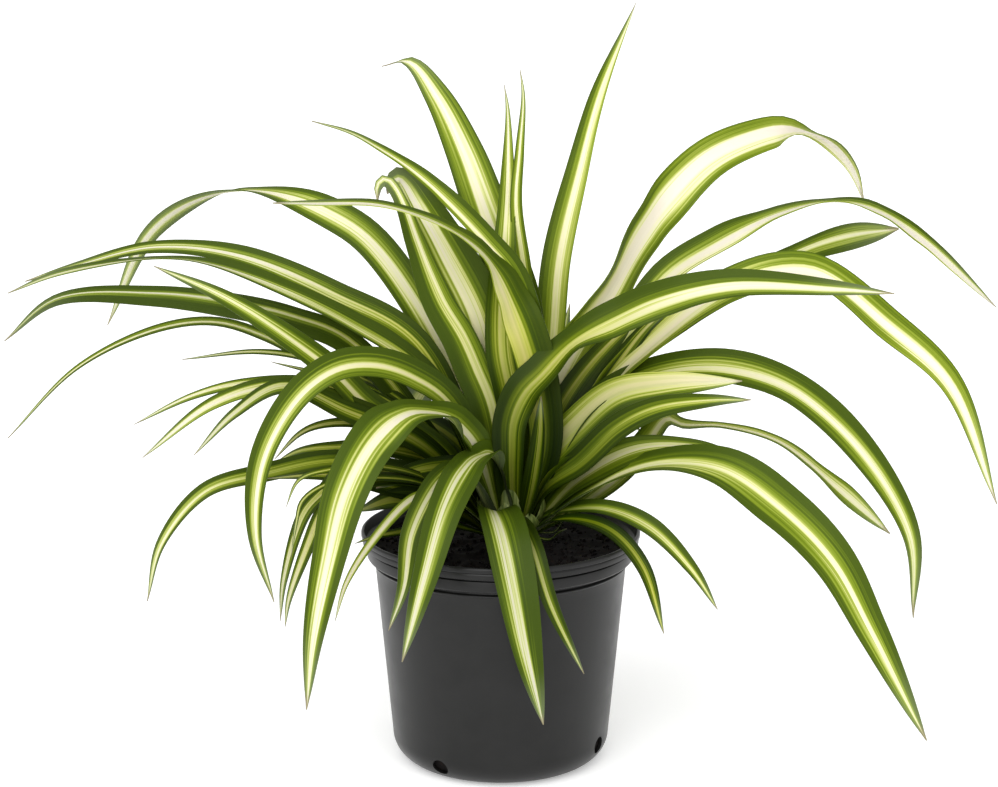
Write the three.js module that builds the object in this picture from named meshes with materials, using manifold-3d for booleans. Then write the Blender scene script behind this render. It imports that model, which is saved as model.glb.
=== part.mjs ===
// A potted spider plant: a moulded nursery pot, the soil that fills it, and the plant itself, one
// rosette of arching leaves that all grow from a short crown. The plant stands in a plain hole in the
// soil. Millimetres, +Z up. The origin is the middle of the pot's base, +X is the viewer's right and
// -Y is the side that faces the viewer.
import * as THREE from "three";
import { mergeVertices } from "three/addons/utils/BufferGeometryUtils.js";
import Module from "manifold-3d";

const wasm = await Module();
wasm.setup();

// Driving dimensions of the pot
const POT_HEIGHT = 140;
const LIP_RADIUS = 82.5;
const WALL_TOP_RADIUS = 74.6;
const WALL_FOOT_RADIUS = 64.6;
const WALL = 1.8;
const FLOOR = 2.2;
const FOOT_CORNER = 16;
const RIM_DEPTH = 17;
const UPPER_RING = 8;
const RING_STEP = 3.4;
const GROOVE = 0.9;
const BEVEL = 0.8;
const SOFT_STEP = 3;
const LIP_DEPTH = 2.8;
const CORNER_DEGREES = [12, 30, 48, 66, 80];
const POT_SIDES = 48;

// Drainage holes, punched through the corner between wall and floor. Each has its heading and the
// angle by which it points below the level, which sets how high it lies on the corner.
const DRAIN_RADIUS = 5.2;
const DRAIN_SIDES = 14;
const DRAINS = [
  [-124, 24],
  [-26, 5],
  [108, 24],
];

// Soil, and the crown that the leaves grow from
const SOIL_TOP = 131;
const SOIL_FALL = 1.5;
const GAP = 0.3;
const CROWN_AT = new THREE.Vector2(6, 4);
const CROWN_RADIUS = 16;
const CROWN_SWELL = 18.5;
const NECK_RADIUS = 24;
const NECK_HEIGHT = 34;
const CROWN_TOP = 46;
const STUB_DEPTH = 30;
const CROWN_SIDES = 20;

// Leaves
const BLADE_THICKNESS = 0.8;
const ROOT_HEIGHT = 5;
const ROOT_SPREAD = 13;
const STATION_LENGTH = 32;
const FEWEST_STATIONS = 6;
const ROOT_FOLD = 30;
const TIP_FOLD = 10;
const ROOT_WIDTH = 0.5;
const WIDEST_AT = 0.45;
const TAPER = 3.6;
const TIP_HALF_WIDTH = 0.5;

// Each leaf: its name, its heading round the crown in degrees (0 is right, 90 is away from the viewer),
// its greatest width, the turns of its blade about the midrib in degrees, evenly spaced from root to tip
// and counted as a right-hand screw along the leaf, and the route of its midrib as hand-picked points
// [out from the crown, up from the soil]. A third number puts a point aside of the heading. A last list
// makes some leaves wider or narrower by these factors, evenly spaced from root to tip.
const LEAVES = [
  ["left_high_arch", 156, 22, [-20, -50, -62, -60, 5, 50, 80],
    [[40, 105], [88, 172], [118, 189], [161, 199], [199, 194], [242, 167], [275, 107]]],
  ["left_long_upper", 174, 18, [-30, -60, -60, -30, -40],
    [[54, 118], [104, 147], [160, 169], [211, 173], [258, 161], [289, 151]]],
  ["left_long_middle", 182, 15, [-30, -50, -37, 0, -50],
    [[45, 98], [94, 135], [167, 167], [203, 172], [260, 164], [291, 152]]],
  ["left_long_lower", 177, 18, [-30, -50, -65, -70],
    [[94, 118], [129, 133], [165, 141], [210, 146], [267, 143], [299, 118]]],
  ["left_short_rising", 190, 17, [-30, -70, -84, -80],
    [[40, 56], [84, 87], [103, 107], [137, 134], [169, 155], [206, 173]]],
  ["left_thin_far", 168, 9, [-30, -30, -40],
    [[60, 74], [110, 98], [148, 117], [180, 125], [217, 119], [268, 93], [315, 46]]],
  ["left_thin_a", 178, 8, [-30, -30], [[60, 82], [112, 108], [147, 114], [193, 109]]],
  ["left_thin_b", 185, 6, [-30, -50], [[60, 78], [100, 100], [140, 112]]],
  ["left_drooping_a", 186, 9, [-30, -60, -66],
    [[50, 62], [86, 81], [112, 98], [155, 100], [186, 93], [220, 77]]],
  ["left_drooping_b", 192, 13, [-30, -60, -70], [[50, 60], [98, 88], [136, 102], [175, 93], [216, 63]],
    [1.8, 1.2, 1, 1]],
  ["left_drooping_c", 197, 13, [-30, -60, -66], [[50, 60], [100, 87], [137, 104], [165, 90], [189, 67]],
    [1.8, 1.3, 1, 1]],
  ["left_front_arch", 207, 19, [-40, -75, -70, -60, -60],
    [[37, 87], [62, 108], [87, 118], [112, 118], [136, 104], [158, 70], [163, 26], [152, -16]]],
  ["front_left_large", 228, 27, [-60, -80, -95, -68, -14, -16, -46, -42, -41, -41, -41, -41, -41],
    [[28, 62], [42, 78], [56, 88], [72, 93], [86, 95], [101, 92], [120, 80], [138, 57], [151, 23], [164, -20],
     [170, -60]],
    [1, 1, 1, 1, 1.1, 1.1, 1, 1, 1]],
  ["front_wide", 246, 23, [-20, -50, -70, -60, 5, 0, -24, -26, -25, -25, -25, -25, -25],
    [[10, 43], [28, 60], [50, 63], [68, 58], [92, 43], [118, 11], [148, -29]]],
  ["front_left_behind", 236, 16, [-10, -34, -33], [[48, 54], [72, 54], [100, 30], [109, -1], [123, -22]]],
  ["front_left_thin", 224, 7, [-20, -35, -40],
    [[40, 30], [65, 41], [79, 41], [106, 25], [129, 2], [138, -19]]],
  ["front_left_short", 215, 6, [-30, -60], [[50, 19], [78, 19], [95, 19], [109, 17]]],
  ["front_hanging", -90, 27, [0, 0, 0],
    [[18, 20, -9], [48, 33, -8], [78, 27, -3], [96, 2, 3], [103, -38, 10], [104, -77, 18]]],
  ["front_hanging_thin", -90, 12, [10, 10],
    [[18, 16, 2], [50, 25, 6], [82, 19, 13], [95, -8, 22], [95, -50, 41]]],
  ["front_right_low", -22, 13, [5, 25, 60, 60], [[22, 18], [57, 27], [87, 19], [113, -4], [129, -27]]],
  ["front_right_dull", -38, 12, [0, 20, 50], [[36, 20], [72, 20], [96, 2], [111, -35]]],
  ["right_low_large", -14, 28, [10, 15, 45, 71, 71],
    [[42, 32], [83, 53], [124, 54], [158, 34], [192, 2], [215, -38], [249, -103]],
    [1, 1, 1.2, 1.08, 1.15]],
  ["right_low_behind", -5, 12, [20, 55, 60], [[40, 39], [74, 58], [108, 60], [132, 53], [155, 38]],
    [2, 1.8, 1.1, 1]],
  ["right_creased", 8, 20, [30, 40, 10, 25, 85],
    [[48, 25], [68, 41], [83, 60], [93, 72], [103, 68], [127, 66], [162, 55], [200, 24], [232, -5]],
    [1, 1, 1, 1, 0.45, 0.6, 1, 1.5, 1.6]],
  ["right_middle_arch", 3, 25, [20, 20, 50, 80, 89],
    [[47, 83], [77, 100], [123, 105], [165, 92], [207, 55], [240, 0], [243, -52]]],
  ["right_folded", -8, 24, [40, 75, 78], [[20, 48], [40, 72], [62, 91], [90, 98], [135, 102]]],
  ["right_middle_short", -18, 17, [40, 85, 83],
    [[20, 34], [42, 52], [65, 75], [88, 88], [121, 95], [144, 97]]],
  ["right_front_arch", -12, 25, [90, 95, 98, 95, 55, 33, 62, 81, 60, 55, 55, 65, 76],
    [[2, 57, -16], [3, 78, -16], [10, 95, -14], [20, 106, -12], [37, 124, -6], [60, 137, -1], [87, 150],
     [128, 161], [187, 161], [221, 159]]],
  ["right_wide_arch", 32, 31, [20, 40, 60, 80, 100, 110, 95, 60, 62, 75, 170, 135, 115],
    [[34, 100], [71, 144], [91, 173], [114, 198], [140, 217], [171, 227], [202, 230], [229, 222], [251, 203],
     [262, 180]],
    [1, 1, 1, 1, 1, 1, 1, 0.9, 1]],
  ["right_high_arch", 22, 21, [20, 25, 28, 30, 32, 34, 32, 6, -3, 28, 56, 84, 94],
    [[50, 95], [70, 120], [99, 154], [131, 171], [168, 185], [205, 191], [236, 186], [272, 165], [329, 116]]],
  ["right_high_behind", 28, 24, [20, 60, 70, 72],
    [[70, 95], [120, 125], [172, 146], [205, 157], [238, 163], [275, 165]],
    [0.7, 0.7, 0.7, 0.85, 2.5]],
  ["right_long_arch", 10, 27, [10, 15, 40, 75, 91],
    [[53, 87], [83, 116], [131, 150], [180, 158], [229, 123], [270, 85], [302, 8]]],
  ["right_dark_a", 20, 19, [30, 66, 66], [[22, 42], [28, 69], [44, 95], [69, 120], [94, 136]]],
  ["right_dark_b", 15, 15, [30, 70, 70], [[30, 60], [48, 80], [67, 106], [84, 126], [104, 140]]],
  ["tall_right", 62, 19, [20, 27, 30],
    [[30, 60], [48, 107], [58, 160], [84, 208], [113, 253], [166, 304]],
    [1, 1, 1, 0.85, 0.6]],
  ["tall_middle_right", 90, 10, [0, 0],
    [[16, 94, -8], [16, 149, -9], [16, 199, -3], [16, 231, -5], [16, 263, -7], [16, 279, -5]]],
  ["tall_middle_left", 90, 21, [0, 0],
    [[0, 80, -1], [0, 116, 5], [5, 151, 5], [10, 174, 4], [16, 190, 3], [18, 214, 2], [20, 254, 2],
     [20, 269, 4]],
    [1, 1, 1, 0.7, 0.5]],
  ["tall_left", 110, 30, [-10, -18, -22],
    [[17, 93, -13], [22, 135, -13], [27, 164, -6], [35, 197, 4], [45, 228, 13], [58, 259, 25], [71, 278, 38],
     [80, 275, 52]],
    [1, 1, 1, 1.1, 1.2]],
  ["left_tall_thin", 172, 14, [-70, -75, -80, -80, -80, -80, -76, -75, -72, -48, -30, -20, -18],
    [[-15, 60, 2], [-14, 123, 1], [-11, 140], [-2, 164, 1], [12, 181, 2], [32, 202, 3], [55, 221, 2], [79, 235],
     [94, 242, -1], [117, 248, -2]]],
  ["left_broad_base", 192, 25, [-60, -80, -95, -100, -101, -92, -55, -18, -7, -7, -10, -16, -20],
    [[-18, 60, 13], [-14, 103, 12], [-9, 123, 11], [0, 147, 9], [9, 165, 9], [19, 178, 8], [34, 189, 7],
     [55, 199, 6], [80, 206, 5], [118, 208, 6], [139, 209, 7]]],
  ["left_upright_a", 172, 22, [-60, -82, -78],
    [[13, 80, 1], [22, 103, 1], [30, 122, 2], [43, 145, 3], [56, 180, 3], [62, 198, 3], [68, 210, 2], [73, 215, 2],
     [77, 212, 2], [78, 203, 2]],
    [1.05, 1.05, 1.05, 1.05, 1.03, 1, 0.85, 0.85, 1.8]],
  ["left_upright_b", 164, 27, [-60, -72, -72],
    [[6, 96, -8], [12, 114, -6], [20, 141, -3], [37, 174], [54, 203, 3], [61, 213, 3], [66, 217, 5], [71, 214, 6],
     [73, 206, 6]],
    [1, 1, 1.1, 1.3, 1.8]],
  ["left_low_a", 186, 9, [-30, -54], [[40, 55], [65, 70], [92, 75], [112, 74], [124, 69], [139, 54]],
    [1.8, 1.6, 1, 0.9]],
  ["left_low_b", 190, 11, [-30, -70], [[40, 48], [66, 59], [101, 62], [125, 61], [140, 54]],
    [1.8, 1.6, 1.1, 0.9]],
  ["left_low_c", 197, 14, [-30, -50, -70, -45],
    [[38, 40], [68, 49], [106, 58], [146, 54], [183, 46], [209, 17], [218, -17]],
    [1.4, 1, 0.9, 1]],
  ["left_low_d", 201, 9, [-30, -75], [[38, 30], [69, 38], [112, 51], [149, 53]],
    [1.8, 1.6, 1.1, 0.9]],
  ["left_low_e", 216, 6, [-30, -55], [[60, 48], [100, 62], [125, 64], [147, 61], [156, 46]]],
  ["left_low_f", 219, 5, [-30, -50], [[60, 44], [100, 56], [133, 58], [150, 51], [154, 40], [158, 20]]],
  ["left_low_g", 213, 11, [-30, -50],
    [[53, 45], [90, 57], [116, 58], [126, 50], [139, 39], [153, 2], [156, -22]]],
  ["left_low_h", 215, 12, [-30, -48],
    [[52, 41], [87, 52], [119, 50], [130, 39], [140, 21], [153, -8], [156, -24]]],
  ["front_left_inner", 214, 13, [-40, -72, -65], [[30, 48], [52, 53], [74, 52], [93, 47]],
    [1, 1, 1.2, 1.6]],
  ["left_low_front", 203, 18, [-30, -62, -80], [[39, 26], [64, 33], [76, 34], [97, 29]]],
  ["heart_folded", -40, 13, [80, 100], [[22, 43, -7], [25, 70, -5], [26, 93, -4]]],
  ["back_rising", 75, 15, [15, 15], [[30, 50], [80, 70], [121, 85], [147, 115]]],
  ["back_a", 62, 20, [10, 10], [[40, 60], [90, 78], [125, 45], [140, 10]]],
  ["back_b", 78, 18, [5, -10], [[30, 55], [75, 80], [120, 55], [150, 0], [160, -60]]],
  ["back_c", 92, 22, [0, 15], [[35, 70], [85, 92], [130, 60], [155, 0], [160, -30]]],
  ["back_d", 106, 18, [0, -15], [[30, 50], [80, 70], [125, 45], [150, -10], [158, -50]]],
  ["back_e", 120, 24, [-10, 0], [[40, 62], [90, 80], [130, 45], [145, 10]], [1, 1, 1.5, 1.3]],
  ["back_f", 48, 16, [10, 20], [[35, 45], [80, 60], [120, 45], [140, 20]]],
  ["back_g", 136, 16, [-15, -10], [[35, 48], [85, 62], [125, 45], [145, 15]]],
  ["back_h", 85, 16, [0, 20], [[15, 60], [40, 95], [75, 110], [100, 95]]],
  ["back_i", 112, 18, [-10, 10], [[15, 70], [45, 105], [80, 115], [115, 95]]],
];

// A closed geometry as a solid that can be joined and cut
function solidOf(geometry) {
  const bare = geometry.clone();
  bare.deleteAttribute("normal");
  bare.deleteAttribute("uv");
  const merged = mergeVertices(bare, 1e-3);
  return new wasm.Manifold(
    new wasm.Mesh({
      numProp: 3,
      vertProperties: merged.attributes.position.array,
      triVerts: new Uint32Array(merged.index.array),
    }),
  );
}

// A solid as a geometry
function geometryOf(solid) {
  const mesh = solid.getMesh();
  const geometry = new THREE.BufferGeometry();
  geometry.setAttribute("position", new THREE.BufferAttribute(mesh.vertProperties, 3));
  geometry.setIndex(new THREE.BufferAttribute(mesh.triVerts, 1));
  geometry.computeVertexNormals();
  return geometry;
}

// A profile of [radius, height] points turned about the Z axis
function turned(profile, sides) {
  const points = profile.map(([radius, height]) => new THREE.Vector2(radius, height));
  return new THREE.LatheGeometry(points, sides).rotateX(Math.PI / 2);
}

// Radius of the pot's outer wall at a height
function wallRadius(height) {
  const share = (height - FOOT_CORNER) / (POT_HEIGHT - RIM_DEPTH - FOOT_CORNER);
  return WALL_FOOT_RADIUS + (WALL_TOP_RADIUS - WALL_FOOT_RADIUS) * share;
}

// Points along the rounded foot corner, from the floor to the wall, at a depth below its outer face
// and nowhere below a lowest height
function cornerPoints(depth, lowest) {
  const radius = FOOT_CORNER - depth;
  return CORNER_DEGREES.map((degrees) => {
    const angle = THREE.MathUtils.degToRad(degrees);
    const height = FOOT_CORNER - radius * Math.cos(angle);
    return [WALL_FOOT_RADIUS - FOOT_CORNER + radius * Math.sin(angle), Math.max(height, lowest)];
  });
}

// The pot: a tapered wall, a rim of two stepped rings with grooves between them, and a rolled lip
function potGeometry() {
  const rimFoot = POT_HEIGHT - RIM_DEPTH;
  const ringFoot = POT_HEIGHT - UPPER_RING;
  const lowerRing = LIP_RADIUS - RING_STEP;
  const outside = [
    [0, 0],
    [WALL_FOOT_RADIUS - FOOT_CORNER, 0],
    ...cornerPoints(0, 0),
    [wallRadius(FOOT_CORNER), FOOT_CORNER],
    [wallRadius(rimFoot - SOFT_STEP), rimFoot - SOFT_STEP],
    [wallRadius(rimFoot) + GROOVE, rimFoot - SOFT_STEP + BEVEL],
    [wallRadius(rimFoot) + GROOVE, rimFoot + BEVEL],
    [lowerRing - GROOVE, rimFoot + 2 * BEVEL],
    [lowerRing, rimFoot + 3 * BEVEL],
    [lowerRing, ringFoot - BEVEL],
    [lowerRing - GROOVE, ringFoot],
    [LIP_RADIUS - GROOVE, ringFoot + BEVEL],
    [LIP_RADIUS - BEVEL, POT_HEIGHT - LIP_DEPTH - 2 * BEVEL],
    [LIP_RADIUS - GROOVE - BEVEL / 2, POT_HEIGHT - LIP_DEPTH - BEVEL],
    [LIP_RADIUS, POT_HEIGHT - LIP_DEPTH],
    [LIP_RADIUS, POT_HEIGHT - BEVEL],
    [LIP_RADIUS - BEVEL, POT_HEIGHT],
  ];
  const inside = [
    [LIP_RADIUS - WALL, POT_HEIGHT],
    [LIP_RADIUS - GROOVE - WALL, ringFoot + 2 * BEVEL],
    [lowerRing - WALL, ringFoot + BEVEL],
    [lowerRing - WALL, rimFoot + 3 * BEVEL],
    [wallRadius(rimFoot) - WALL, rimFoot],
    [wallRadius(FOOT_CORNER) - WALL, FOOT_CORNER],
    ...cornerPoints(WALL, FLOOR).reverse(),
    [0, FLOOR],
  ];
  let pot = solidOf(turned([...outside, ...inside], POT_SIDES));
  const middle = WALL_FOOT_RADIUS - FOOT_CORNER;
  const reach = FOOT_CORNER - WALL / 2;
  for (const [heading, slope] of DRAINS) {
    const angle = THREE.MathUtils.degToRad(slope);
    const drill = new THREE.CylinderGeometry(DRAIN_RADIUS, DRAIN_RADIUS, 6 * WALL, DRAIN_SIDES);
    drill.rotateZ(-Math.PI / 2);
    drill.rotateY(angle);
    drill.translate(middle + reach * Math.cos(angle), 0, FOOT_CORNER - reach * Math.sin(angle));
    drill.rotateZ(THREE.MathUtils.degToRad(heading));
    pot = pot.subtract(solidOf(drill));
  }
  return geometryOf(pot);
}

// The soil fills the pot to just under the rings, and has a plain hole for the plant's crown
function soilGeometry() {
  const rimFoot = POT_HEIGHT - RIM_DEPTH;
  const edge = WALL + GAP;
  const wallTop = LIP_RADIUS - RING_STEP - edge;
  const filled = solidOf(
    turned(
      [
        [0, FLOOR + GAP],
        ...cornerPoints(edge, FLOOR + GAP),
        [wallRadius(FOOT_CORNER) - edge, FOOT_CORNER],
        [wallRadius(rimFoot) - edge, rimFoot + GAP],
        [wallTop, rimFoot + 3 * BEVEL + GAP],
        [wallTop, SOIL_TOP - SOIL_FALL],
        [CROWN_RADIUS * 2.5, SOIL_TOP - SOIL_FALL / 2],
        [0, SOIL_TOP],
      ],
      POT_SIDES,
    ),
  );
  const holeRadius = CROWN_RADIUS + GAP;
  const hole = new THREE.CylinderGeometry(holeRadius, holeRadius, 2 * STUB_DEPTH, CROWN_SIDES);
  hole.rotateX(Math.PI / 2);
  hole.translate(CROWN_AT.x, CROWN_AT.y, SOIL_TOP);
  return geometryOf(filled.subtract(solidOf(hole)));
}

// The crown: a stub that stands in the soil, and above it the neck, where the leaf bases are packed
// so close round each other that they make one solid bundle
function crownSolid() {
  const crown = turned(
    [
      [0, SOIL_TOP - STUB_DEPTH + GAP],
      [CROWN_RADIUS, SOIL_TOP - STUB_DEPTH + GAP],
      [CROWN_RADIUS, SOIL_TOP + 2 * GAP],
      [CROWN_SWELL, SOIL_TOP + 3],
      [NECK_RADIUS, SOIL_TOP + NECK_HEIGHT],
      [NECK_RADIUS / 2, SOIL_TOP + CROWN_TOP],
      [0, SOIL_TOP + CROWN_TOP],
    ],
    CROWN_SIDES,
  );
  return solidOf(crown.translate(CROWN_AT.x, CROWN_AT.y, 0));
}

// A value part of the way along a list of evenly spaced values, eased from each to the next
function eased(values, share) {
  const place = share * (values.length - 1);
  const index = Math.min(Math.floor(place), values.length - 2);
  return THREE.MathUtils.lerp(
    values[index],
    values[index + 1],
    THREE.MathUtils.smoothstep(place - index, 0, 1),
  );
}

// Share of the greatest width at a place along the leaf: narrow at the root, then a long taper
function widthShare(along) {
  const grown = Math.sin((Math.PI / 2) * Math.min(along / WIDEST_AT, 1));
  const taper = Math.pow(Math.max(0, 1 - Math.pow(along, TAPER)), 0.9);
  return (ROOT_WIDTH + (1 - ROOT_WIDTH) * grown) * taper;
}

// The midrib: a smooth curve from inside the crown through the route's points. A leaf that leans
// further out starts further from the middle of the crown.
function midribOf(heading, route) {
  const angle = THREE.MathUtils.degToRad(heading);
  const lean = Math.atan2(route[0][1] - ROOT_HEIGHT, route[0][0]);
  const points = [[ROOT_SPREAD * Math.cos(lean), ROOT_HEIGHT], ...route].map(
    ([out, up, aside = 0]) =>
      new THREE.Vector3(
        CROWN_AT.x + out * Math.cos(angle) - aside * Math.sin(angle),
        CROWN_AT.y + out * Math.sin(angle) + aside * Math.cos(angle),
        SOIL_TOP + up,
      ),
  );
  return new THREE.CatmullRomCurve3(points, false, "centripetal");
}

// One leaf blade: a strip with a shallow fold along its midrib, split alike on both faces
function bladeSolid([, heading, width, turns, route, swell = [1, 1]]) {
  const midrib = midribOf(heading, route);
  const stations = Math.max(FEWEST_STATIONS, Math.round(midrib.getLength() / STATION_LENGTH));
  const strip = new THREE.PlaneGeometry(1, 1, stations, 2);
  const grid = strip.attributes.position;
  const angle = THREE.MathUtils.degToRad(heading);
  const outward = new THREE.Vector3(Math.cos(angle), Math.sin(angle), 0);
  const upper = [];
  const lower = [];
  for (let i = 0; i < grid.count; i++) {
    const along = grid.getX(i) + 0.5;
    const across = 2 * grid.getY(i);
    const tangent = midrib.getTangentAt(along);
    const normal = outward.clone().multiplyScalar(-tangent.z);
    normal.z = tangent.dot(outward);
    normal.addScaledVector(tangent, -normal.dot(tangent)).normalize();
    normal.applyAxisAngle(tangent, THREE.MathUtils.degToRad(eased(turns, along)));
    const sideways = new THREE.Vector3().crossVectors(normal, tangent);
    const half = Math.max(TIP_HALF_WIDTH, (width * eased(swell, along) * widthShare(along)) / 2);
    const folded = THREE.MathUtils.lerp(ROOT_FOLD, TIP_FOLD, Math.min(1, 2 * along));
    const fold = THREE.MathUtils.degToRad(folded);
    const rise = half * Math.sin(fold) * (Math.abs(across) - 0.5);
    const middle = midrib.getPointAt(along).addScaledVector(sideways, across * half * Math.cos(fold));
    upper.push(...middle.clone().addScaledVector(normal, rise + BLADE_THICKNESS / 2));
    lower.push(...middle.clone().addScaledVector(normal, rise - BLADE_THICKNESS / 2));
  }
  return thickened(strip.index.array, upper, lower);
}

// Two like faces, the upper and the lower, closed along their borders to one solid
function thickened(triangles, upper, lower) {
  const count = upper.length / 3;
  const faces = [];
  const borders = new Map();
  for (let i = 0; i < triangles.length; i += 3) {
    const [a, b, c] = [triangles[i], triangles[i + 1], triangles[i + 2]];
    faces.push(a, b, c, c + count, b + count, a + count);
    for (const [from, to] of [[a, b], [b, c], [c, a]]) {
      if (!borders.delete(to + ">" + from)) borders.set(from + ">" + to, [from, to]);
    }
  }
  for (const [from, to] of borders.values()) {
    faces.push(to, from, from + count, to, from + count, to + count);
  }
  const geometry = new THREE.BufferGeometry();
  geometry.setAttribute("position", new THREE.Float32BufferAttribute([...upper, ...lower], 3));
  geometry.setIndex(faces);
  return solidOf(geometry);
}

// The whole plant as one grown body. Small hollows that crossing leaves close off are filled.
function rosetteGeometry() {
  const grown = wasm.Manifold.union([crownSolid(), ...LEAVES.map(bladeSolid)]);
  const bodies = grown.decompose();
  bodies.sort((one, other) => other.volume() - one.volume());
  return geometryOf(bodies[0]);
}

// A named mesh with its own material
function piece(name, geometry, color, roughness) {
  const material = new THREE.MeshStandardMaterial({ color, roughness, metalness: 0 });
  const mesh = new THREE.Mesh(geometry, material);
  mesh.name = name;
  return mesh;
}

const plant = new THREE.Group();
plant.add(piece("pot", potGeometry(), "#2f302f", 0.5));
plant.add(piece("soil", soilGeometry(), "#1e1512", 0.95));
plant.add(piece("rosette", rosetteGeometry(), "#5c8a2c", 0.45));

export default plant;
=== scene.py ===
# %% [markdown]
# # A potted spider plant
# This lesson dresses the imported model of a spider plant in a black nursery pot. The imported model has
# three solids: the pot, the soil and the rosette of leaves. They fix where everything is. We load them
# first, because each finer piece that we model has to lie where the solid lies.

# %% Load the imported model
import math
import random

import bmesh
import bpy
from mathutils import Matrix, Vector, noise


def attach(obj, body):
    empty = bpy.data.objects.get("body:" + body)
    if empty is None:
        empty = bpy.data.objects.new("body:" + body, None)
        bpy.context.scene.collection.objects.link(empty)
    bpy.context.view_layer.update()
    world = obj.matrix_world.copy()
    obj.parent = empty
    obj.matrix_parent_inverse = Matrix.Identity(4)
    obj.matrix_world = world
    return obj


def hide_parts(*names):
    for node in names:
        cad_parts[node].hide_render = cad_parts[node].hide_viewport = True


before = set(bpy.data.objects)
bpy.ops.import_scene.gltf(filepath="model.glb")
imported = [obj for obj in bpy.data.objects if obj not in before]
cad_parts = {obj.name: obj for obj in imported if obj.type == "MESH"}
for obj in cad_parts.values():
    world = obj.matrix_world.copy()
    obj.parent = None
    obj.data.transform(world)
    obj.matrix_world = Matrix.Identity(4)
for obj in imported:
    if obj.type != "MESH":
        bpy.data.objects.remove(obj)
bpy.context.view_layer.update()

print("nodes:", sorted(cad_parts))

# %% [markdown]
# ## Helpers
# Sizes are easiest to read in millimetres, and Blender counts in metres, so one factor stands between
# them. Colours are picked as sRGB hex values, as on a screen, and one function turns them linear.
# Operators act on all that is selected, so each step first clears the selection.

# %% Units, colours and selection
MM = 0.001


def linear(hex_value):
    """An sRGB hex value as a linear colour with alpha."""
    shares = [int(hex_value[i:i + 2], 16) / 255 for i in (1, 3, 5)]
    return [s / 12.92 if s <= 0.04045 else ((s + 0.055) / 1.055) ** 2.4 for s in shares] + [1.0]


def clear_selection():
    if bpy.context.mode != "OBJECT":
        bpy.ops.object.mode_set(mode="OBJECT")
    bpy.ops.object.select_all(action="DESELECT")


def make_active(piece):
    clear_selection()
    piece.select_set(True)
    bpy.context.view_layer.objects.active = piece


def apply_modifier(piece, kind, **settings):
    """Adds a modifier with its settings and applies it."""
    make_active(piece)
    modifier = piece.modifiers.new(kind.lower(), kind)
    for name, value in settings.items():
        setattr(modifier, name, value)
    bpy.ops.object.modifier_apply(modifier=modifier.name)


def smoothed(piece, degrees):
    make_active(piece)
    bpy.ops.object.shade_smooth_by_angle(angle=math.radians(degrees))


def eased(share):
    """A share from 0 to 1, eased at both ends."""
    share = min(max(share, 0.0), 1.0)
    return share * share * (3 - 2 * share)


def value_along(values, share):
    """A value part of the way along a list of evenly spaced values, eased from each to the next."""
    place = share * (len(values) - 1)
    index = min(int(place), len(values) - 2)
    return values[index] + (values[index + 1] - values[index]) * eased(place - index)


# %% One function that adds a shader node
def add_node(tree, kind, inputs=None, stops=None, **settings):
    """A node with its settings, its colour stops, and its inputs. Each input is a value, another node's
    output, or another node, whose first output in use is then meant."""
    made = tree.nodes.new(kind)
    for name, value in settings.items():
        setattr(made, name, value)
    for name, value in (inputs or {}).items():
        if isinstance(value, bpy.types.Node):
            value = next(output for output in value.outputs if output.enabled)
        if isinstance(value, bpy.types.NodeSocket):
            tree.links.new(value, made.inputs[name])
        else:
            made.inputs[name].default_value = value
    if stops:
        ramp = made.color_ramp
        while len(ramp.elements) > 1:
            ramp.elements.remove(ramp.elements[-1])
        ramp.elements[0].position = stops[0][0]
        ramp.elements[0].color = linear(stops[0][1])
        for place, colour in stops[1:]:
            ramp.elements.new(place).color = linear(colour)
    return made


def new_material(name):
    """A material without a node, and its node tree."""
    made = bpy.data.materials.new(name)
    made.use_nodes = True
    made.node_tree.nodes.clear()
    return made, made.node_tree


# %% [markdown]
# ## Camera
# The pot's lip and foot show as flat ellipses, which tells how far the camera looks down: 13.5 degrees.
# How much the far side of the lip is smaller than the near side tells how far away it stands. A long
# lens at 1.62 m fits, with the middle of the picture 82 mm above the pot's lip.

# %% Camera
LENS_MM = 100
SENSOR_MM = 36
CAMERA_PITCH = math.radians(13.5)
CAMERA_DISTANCE = 1.621
CAMERA_TARGET = Vector((-1 * MM, 0, 222 * MM))

towards_camera = Vector((0, -math.cos(CAMERA_PITCH), math.sin(CAMERA_PITCH)))
clear_selection()
bpy.ops.object.camera_add(
    location=CAMERA_TARGET + towards_camera * CAMERA_DISTANCE,
    rotation=(math.pi / 2 - CAMERA_PITCH, 0, 0),
)
camera = bpy.context.object
camera.data.lens = LENS_MM
camera.data.sensor_width = SENSOR_MM
bpy.context.scene.camera = camera
print("camera stands at, m:", [round(x, 3) for x in camera.location])

# %% [markdown]
# ## Studio
# The plant stands on a plain pale floor in soft light from all round, as on a white sweep. A pale world
# lights it evenly, and this also gives the black pot its bright edges, because plastic mirrors more of
# its surroundings where we see it at a grazing angle. One wide soft sun stands above the viewer and a
# little to the left, and gives the leaves their light and dark sides. An area light would fade towards
# the back. A sun lights the whole floor alike, and the floor glows a little as a lit sweep does, so it
# stays white all over.

# %% Floor
FLOOR_SIZE = 40
FLOOR_GLOW = 0.3

clear_selection()
bpy.ops.mesh.primitive_plane_add(size=FLOOR_SIZE, location=(0, 0, 0))
floor = bpy.context.object
floor.name = "studio_floor"
floor_paint, tree = new_material("matt white studio floor")
paint = add_node(
    tree,
    "ShaderNodeBsdfPrincipled",
    {
        "Base Color": linear("#F2F2F2"),
        "Roughness": 1.0,
        "Specular IOR Level": 0.0,
        "Emission Color": linear("#FFFFFF"),
        "Emission Strength": FLOOR_GLOW,
    },
)
add_node(tree, "ShaderNodeOutputMaterial", {"Surface": paint})
floor.data.materials.append(floor_paint)
print("floor:", FLOOR_SIZE, "m wide, painted", floor_paint.name)

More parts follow.
